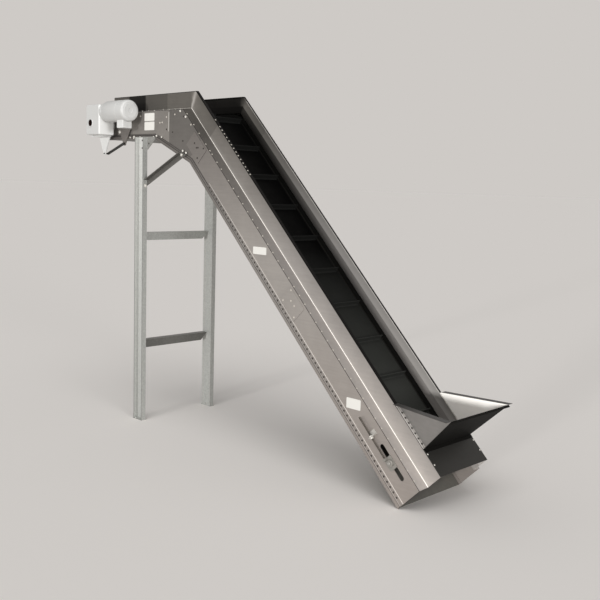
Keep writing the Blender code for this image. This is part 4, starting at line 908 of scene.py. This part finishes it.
# %% Bolt rows
def bolt_rows(name, places, out, radius, finish, slot, height=0.6, washer=1.45):
    """Bolt heads of half-flat size `radius` at the places, standing along `out`."""
    places = np.atleast_2d(places)
    out = unit(out)
    side = unit(np.cross(out, ACROSS if abs(out[1]) < 0.9 else UP))
    other = np.cross(out, side)
    t = np.radians(np.arange(12) * 30.0)
    hexagon = 1.0 / np.cos((t + np.pi / 6) % (np.pi / 3) - np.pi / 6)
    disc = np.full(12, washer)
    stack = [(disc, -0.05), (disc, 0.16), (hexagon, 0.16), (hexagon, 0.16 + height * 0.8),
             (np.full(12, 0.86), 0.16 + height), (np.full(12, 0.05), 0.16 + height)]
    rings = [r[:, None] * radius * (np.cos(t)[:, None] * side + np.sin(t)[:, None] * other)
             + h * radius * out for r, h in stack]
    points, faces = tube_mesh(np.stack(rings))
    every = (places[:, None, :] + points[None]).reshape(-1, 3)
    shift = np.arange(len(places)) * len(points)
    all_faces = [tuple(v + k for v in f) for k in shift.tolist() for f in faces]
    return piece(name, every, all_faces, finish, slot)


LARGE, BOLT, SMALL, TINY = 0.0085, 0.0062, 0.0048, 0.0040
OUTWARD = {"near": (0, -1, 0), "far": (0, 1, 0)}
LEDGE_TILT = np.arctan(LEDGE_SLOPE)
LEDGE_BOLT_Y = 0.0065
LEDGE_BOLT_N = GAP + SHEET + LEDGE_BOLT_Y * LEDGE_SLOPE


def ledge_way(side, up):
    return up * np.cos(LEDGE_TILT) + np.array(OUTWARD[side]) * np.sin(LEDGE_TILT)


BOLT_PITCH = 0.0381
RAIL_BOLT_N, LIP_BOLT_Y, WING_BOLT_Y = -0.176, LEDGE_WIDTH + 0.009, LEDGE_WIDTH + 0.011
rail_s = np.arange(UNDER_BEND + 0.30, INCLINE_LENGTH - 0.02, BOLT_PITCH)
ledge_s = np.array((0.055, 0.171, 0.264, 0.377, 0.446, 0.482, 0.564, 0.634, 0.749, 0.827, 0.905))
ledge_s = np.concatenate((ledge_s, np.arange(0.976, 3.30, 2 * BOLT_PITCH)))
level_x = -np.array((0.035, 0.101, 0.18, 0.257, 0.372, 0.45, 0.53, 0.61, 0.69, 0.77, 0.85, 0.93, 1.0))
lip_s = np.concatenate(((0.256,), np.arange(0.329, 0.83, 0.0375)))
wing_s = np.arange(2.871, 3.11, BOLT_PITCH)
for side in SIDES:
    for name, run, along, y, n, way, size, finish, slot in (
            ("rail", on_incline, rail_s, -GAP - SHEET, RAIL_BOLT_N, OUTWARD[side], SMALL, dark_bolt,
             "dark_steel"),
            ("ledge", on_incline, ledge_s, LEDGE_BOLT_Y, LEDGE_BOLT_N, ledge_way(side, OUT), TINY,
             worn_bolt, "bright_steel"),
            ("level_ledge", on_level, level_x, LEDGE_BOLT_Y, LEDGE_BOLT_N, ledge_way(side, UP), TINY,
             worn_bolt, "bright_steel"),
            # The far lip's bolts take the dark bolt finish: painted shade.
            ("lip", on_incline, lip_s, LIP_BOLT_Y, SKIRT_TOP, OUT, TINY,
             worn_bolt if side == "near" else dark_bolt, "bright_steel"),
            ("wing", on_incline, wing_s, WING_BOLT_Y, SKIRT_TOP + GAP + SHEET, OUT, SMALL,
             dark_bolt, "dark_steel")):
        bolt_rows(f"{side}_{name}_bolts", run(along, across(side, y), n), way, size, finish, slot)
print("rail bolts a side:", len(rail_s), "ledge bolts a side:", len(ledge_s) + len(level_x))

# %% [markdown]
# The side plates and the nose rail carry single bolts at splices, bearings, pan hangers and leg
# brackets. Their places are read along the plate, and both sides are drilled alike.

# %% Single bolts
PLATE_BIG = [(-0.035, -0.012), (0.032, -0.057)]
PLATE_SMALL = [(-0.553, -0.035), (-0.101, -0.035), (-0.207, -0.052), (-0.261, -0.091),
               (-0.291, -0.093), (0.098, -0.118)]
PLATE_DARK = [(-0.206, -0.145), (-0.127, -0.168), (0.001, -0.236), (0.008, -0.053)]
RAIL_BIG = [(-0.626, -0.196), (-0.322, -0.193), (-0.629, -0.205), (0.013, -0.312), (0.053, -0.327)]
RAIL_SMALL = [(-0.544, -0.200), (-0.363, -0.200), (-0.257, -0.205), (-0.682, -0.200)]
NOSE_SPLICE = [(0.285, -0.076), (0.338, -0.070), (0.326, -0.083), (0.387, -0.129), (0.388, -0.030)]
MID_SPLICE = [(1.745, -0.132), (1.796, -0.076), (1.842, -0.075), (1.743, -0.026), (1.897, -0.130)]
COVER_BOLTS = [(3.144, 0.114), (3.148, 0.303), (3.151, 0.499), (3.178, 0.573), (3.254, 0.572),
               (3.173, 0.082), (3.249, 0.082)]
rail_y = -GAP - SHEET - JOGGLE
SINGLE_BOLTS = [("plate_big", PLATE_BIG, 0.0, BOLT, zinc_bolt, on_level),
                ("plate_small", PLATE_SMALL, 0.0, SMALL, worn_bolt, on_level),
                ("plate_dark", PLATE_DARK, 0.0, SMALL, dark_bolt, on_level),
                ("rail_big", RAIL_BIG, rail_y, BOLT, zinc_bolt, on_level),
                ("rail_small", RAIL_SMALL, rail_y, SMALL, zinc_bolt, on_level),
                ("nose_splice", NOSE_SPLICE, -GAP - SHEET, SMALL, dark_bolt, on_incline),
                ("mid_splice", MID_SPLICE, -GAP - SHEET, SMALL, worn_bolt, on_incline)]


def outward_bolts(side, name, places, y, size, finish, where, slot):
    """Bolts at (along, up) pairs on a face at y, their heads outwards."""
    along, up = np.array(places).T
    bolt_rows(f"{side}_{name}_bolts", where(along, across(side, y), up), OUTWARD[side], size, finish,
              slot)


for side in SIDES:
    for row in SINGLE_BOLTS:
        outward_bolts(side, *row, "dark_steel" if dark_bolt in row else "bright_steel")
along, over = np.array(COVER_BOLTS).T
bolt_rows("cover_bolts", on_incline(along, over, SKIRT_TOP + GAP + SHEET), OUT, TINY, zinc_bolt,
          "bright_steel")
print("bolts on one side plate:", sum(len(row[1]) for row in SINGLE_BOLTS))

# %% [markdown]
# The supports are bolted too: the leg's web to its gusset and the rail, the knee brace at both ends,
# and on the near side the bracket that holds the torque rod.

# %% Bolts of the supports, the drive and the take-ups
WEB_OUT, GUSSET_OUT, BRACKET_OUT, LEG_BACK_X = -0.0197, -0.0146, -0.0166, -0.434
KNEE_FACE = -0.0136
SUPPORT_BOLTS = [("leg_web", [(-0.495, -0.227), (-0.495, -0.287)], WEB_OUT, SMALL, dark_bolt),
                 ("gusset", [(-0.415, -0.252)], GUSSET_OUT, SMALL, dark_bolt),
                 ("knee_head", [(0.004, -0.341)], KNEE_FACE, LARGE, zinc_bolt)]
for side in SIDES:
    for row in SUPPORT_BOLTS:
        outward_bolts(side, *row, on_level, "bright_steel")
    bolt_rows(f"{side}_knee_foot_bolt", on_level(LEG_BACK_X, across(side, -0.030), -0.585), (1, 0, 0),
              LARGE, zinc_bolt, "bright_steel")
bolt_rows("torque_bracket_bolt", on_level(-0.818, BRACKET_OUT, -0.155), OUTWARD["near"], LARGE,
          zinc_bolt, "bright_steel")

SCREW_START, SCREW_END, SCREW_OUT, SCREW_N = 2.735, 3.0447, -0.018, -0.0835
THREAD_PITCH, THREAD_ROOT, THREAD_CREST = 0.0035, 0.0051, 0.0060
NUT_FACES, NUT = (2.8827, 2.8893), 0.0095
thread_count = int((SCREW_END - SCREW_START) / THREAD_PITCH)
thread_at = np.arange(2 * thread_count) * THREAD_PITCH / 2
crests = np.where(np.arange(2 * thread_count) % 2, THREAD_CREST, THREAD_ROOT)
thread = np.stack((thread_at, crests), axis=1)
for side in SIDES:
    start = on_incline(SCREW_START, across(side, SCREW_OUT), SCREW_N)
    piece(f"{side}_threaded_screw", *tube_mesh(turned(thread, start, DOWN, 16)), screw_steel,
          "bright_steel", [f"{side}_takeup_screw"])
    for face, way in zip(NUT_FACES, (-1, 1)):
        bolt_rows(f"{side}_nut_{'upper' if way < 0 else 'lower'}",
                  on_incline(face, across(side, SCREW_OUT), SCREW_N), DOWN * way, NUT, zinc_bolt,
                  "bright_steel", height=0.65, washer=1.25)
print("threads on a take-up screw:", thread_count)

# %% [markdown]
# The reducer's hollow shaft is an open bore. A thin dark cup lines it: a turned profile that goes
# out along the bottom, back along the wall, and returns inside a millimetre in.

# %% Bore liner
reducer_low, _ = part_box("gear_reducer")
liner = [(0.057, 0.002), (0.057, 0.0272), (0.001, 0.0272), (0.001, 0.0262), (0.055, 0.0262),
         (0.055, 0.002)]
bore_mouth = np.array((CORNER[0] + HEAD_X, reducer_low.y, CORNER[2] + HEAD_Z))
piece("bore_liner", *tube_mesh(turned(liner, bore_mouth, (0, 1, 0), 48)), bore_brown, "dark_steel")
print("bore at", bore_mouth.round(3))

# %% [markdown]
# ## Materials of the solids that stay
# Plates, legs, braces and brackets are already right as solids, so they only get their finish.

# %% Dress the kept nodes
FINISHES = {
    head_sheet: ["{}_head_side"],
    side_sheet: ["{}_incline_side_upper", "{}_incline_side_lower", "{}_nose_splice", "{}_mid_splice",
                 "torque_bracket"],
    bed_sheet: ["slider_bed"], pan_sheet: ["return_pan"],
    leg_zinc: ["{}_leg"], gusset_zinc: ["{}_leg_gusset"], knee_zinc: ["{}_knee_brace"],
    galvanised: ["upper_cross_brace"], shaded_zinc: ["lower_cross_brace"],
    slide_plate: ["{}_takeup_slide"], zinc_plate: ["{}_takeup_bracket"],
    white_enamel: ["{}_head_bearing"], case_enamel: ["gear_reducer"],
    painted_light_enamel: ["conduit_box", "torque_arm"],
    black_plate: ["hopper_front"], dark_plate: ["tail_cover", "torque_rod"]}
dressed = {pattern.format(side): finish for finish, patterns in FINISHES.items()
           for pattern in patterns for side in SIDES}
for name, finish in dressed.items():
    slots = nodes[name].data.materials
    slots.clear()
    slots.append(finish)
print("solids dressed:", len(dressed))

# %% [markdown]
# ## Label places
# The real machine has small stickers. Here they are blank plates with rounded corners, level in
# the world, lying on the near side plate.

# %% Blank plates
def rounded_plate(name, x0, x1, z0, z1, y=-0.0004, thick=0.0008, radius=0.006, finish=blank_label,
                  slot="white_paint", side="near"):
    """A rounded rectangle: each corner is a quarter circle; the outline is carried through thick."""
    t = np.linspace(0, np.pi / 2, 5)
    corners = ((x1 - radius, z1 - radius, 0), (x0 + radius, z1 - radius, 1),
               (x0 + radius, z0 + radius, 2), (x1 - radius, z0 + radius, 3))
    outline = np.concatenate([np.stack((cx + radius * np.cos(t + q * np.pi / 2),
                                        cz + radius * np.sin(t + q * np.pi / 2)), axis=1)
                              for cx, cz, q in corners])
    rings = np.stack([on_level(outline[:, 0], across(side, y - d), outline[:, 1]) for d in (0.0, thick)])
    return piece(name, *tube_mesh(rings), finish, slot)


rounded_plate("head_label_upper", -0.495, -0.363, -0.075, -0.014)
rounded_plate("head_label_lower", -0.495, -0.363, -0.147, -0.081)
rounded_plate("middle_label", 0.822, 0.958, -1.033, -0.981)
rounded_plate("tail_label", 1.748, 1.868, -1.957, -1.888)
for side in SIDES:
    rounded_plate(f"{side}_seam_strip", -0.180, -0.171, -0.161, -0.015, y=-0.0003, thick=0.0015,
                  radius=0.002, finish=zinc_plate, slot="sheet_steel", side=side)

# %% [markdown]
# ## Studio
# A plain pale floor under even light. One low sun faces the near side, a second one looks up the
# incline from the tail, and a very broad high one stands for the ceiling's softbox. Suns light a
# flat floor the same everywhere, so its colour can be worked out to match the backdrop. The world
# shows that backdrop to the camera, to gloss and to glass, and lights the rest more weakly.

# %% Floor, light and backdrop
BACKDROP = rgb(206, 202, 198)
KEY, SIDE, HIGH, SKY = 1.9, 1.7, 1.0, 0.33


def sun(name, towards, strength, size):
    lamp = bpy.data.lights.new(name, "SUN")
    lamp.energy = strength
    lamp.angle = np.radians(size)
    thing, way = new_object(name, lamp), unit(towards)
    thing.rotation_mode = "QUATERNION"
    thing.rotation_quaternion = Vector(way).to_track_quat("Z", "Y")
    return way[2] * strength / np.pi


floor_light = sum((sun("key_sun", (0.23, -0.97, 0.05), KEY, 5),
                   sun("side_sun", (0.97, -0.25, 0.03), SIDE, 14),
                   sun("high_sun", (0.35, -0.4, 0.85), HIGH, 50)))
FLOOR_MATCH = 0.99
floor_albedo = [FLOOR_MATCH * c / (floor_light + SKY) for c in BACKDROP[:3]]
print("floor albedo:", np.round(floor_albedo, 3))

world = bpy.data.worlds.new("studio")
bpy.context.scene.world = world
world.use_nodes = True
tree = world.node_tree
tree.nodes.clear()
rays = node(tree, "ShaderNodeLightPath").outputs
shown = maths(tree, "MAXIMUM", rays["Is Camera Ray"], rays["Is Glossy Ray"])
shown = maths(tree, "MAXIMUM", shown, rays["Is Transmission Ray"])
seen = wired(tree, "ShaderNodeBackground", "Background", {"Color": BACKDROP})
lit = wired(tree, "ShaderNodeBackground", "Background", {"Color": (1.0, 1.0, 1.0, 1.0), "Strength": SKY})
blend = wired(tree, "ShaderNodeMixShader", "Shader", {"Fac": shown, 1: lit, 2: seen})
feed(tree, node(tree, "ShaderNodeOutputWorld").inputs["Surface"], blend)

floor_mesh = bpy.data.meshes.new("floor")
reach = 400.0
floor_mesh.from_pydata([(x * reach, y * reach, 0) for x, y in ((-1, -1), (1, -1), (1, 1), (-1, 1))],
                       [], [(0, 1, 2, 3)])
floor_paint, _, shader = new_material("floor_paint", 0.9, 0.0, 0.0)
shader.inputs["Base Color"].default_value = (*floor_albedo, 1.0)
floor_mesh.materials.append(floor_paint)
floor = new_object("floor", floor_mesh)

# %% [markdown]
# ## Camera
# The camera's place, turn and lens were fitted to the bolts, edges and feet seen in the picture. The
# three angles give its axes by two cross products, and the roll turns them about the view.

# %% Camera
EYE = np.array((5.3288, -4.1228, -0.5441))
YAW, PITCH, ROLL = np.radians((44.3437, 7.554, 1.766))
FOCAL_PX, FRAME_PX = 864.24, 600
forward = np.array((-np.sin(YAW) * np.cos(PITCH), np.cos(YAW) * np.cos(PITCH), -np.sin(PITCH)))
right = unit(np.cross(forward, UP))
above = np.cross(right, forward)
rolled = np.cos(ROLL) * right + np.sin(ROLL) * above
top = np.cos(ROLL) * above - np.sin(ROLL) * right
lens = bpy.data.cameras.new("camera")
lens.sensor_width = 36.0
lens.lens = FOCAL_PX / FRAME_PX * lens.sensor_width
lens.clip_end = 1000.0
camera = new_object("camera", lens)
place = EYE + CORNER
camera.matrix_world = Matrix((*np.stack((rolled, top, -forward, place), axis=1).tolist(), (0, 0, 0, 1)))
bpy.context.scene.camera = camera
bpy.context.scene.view_settings.view_transform = "Standard"
print("camera at", place.round(3), "lens", round(lens.lens, 2))

# %% Sizes and finish
print("pieces:", len(COUNTS), "triangles of new pieces:", sum(COUNTS.values()))
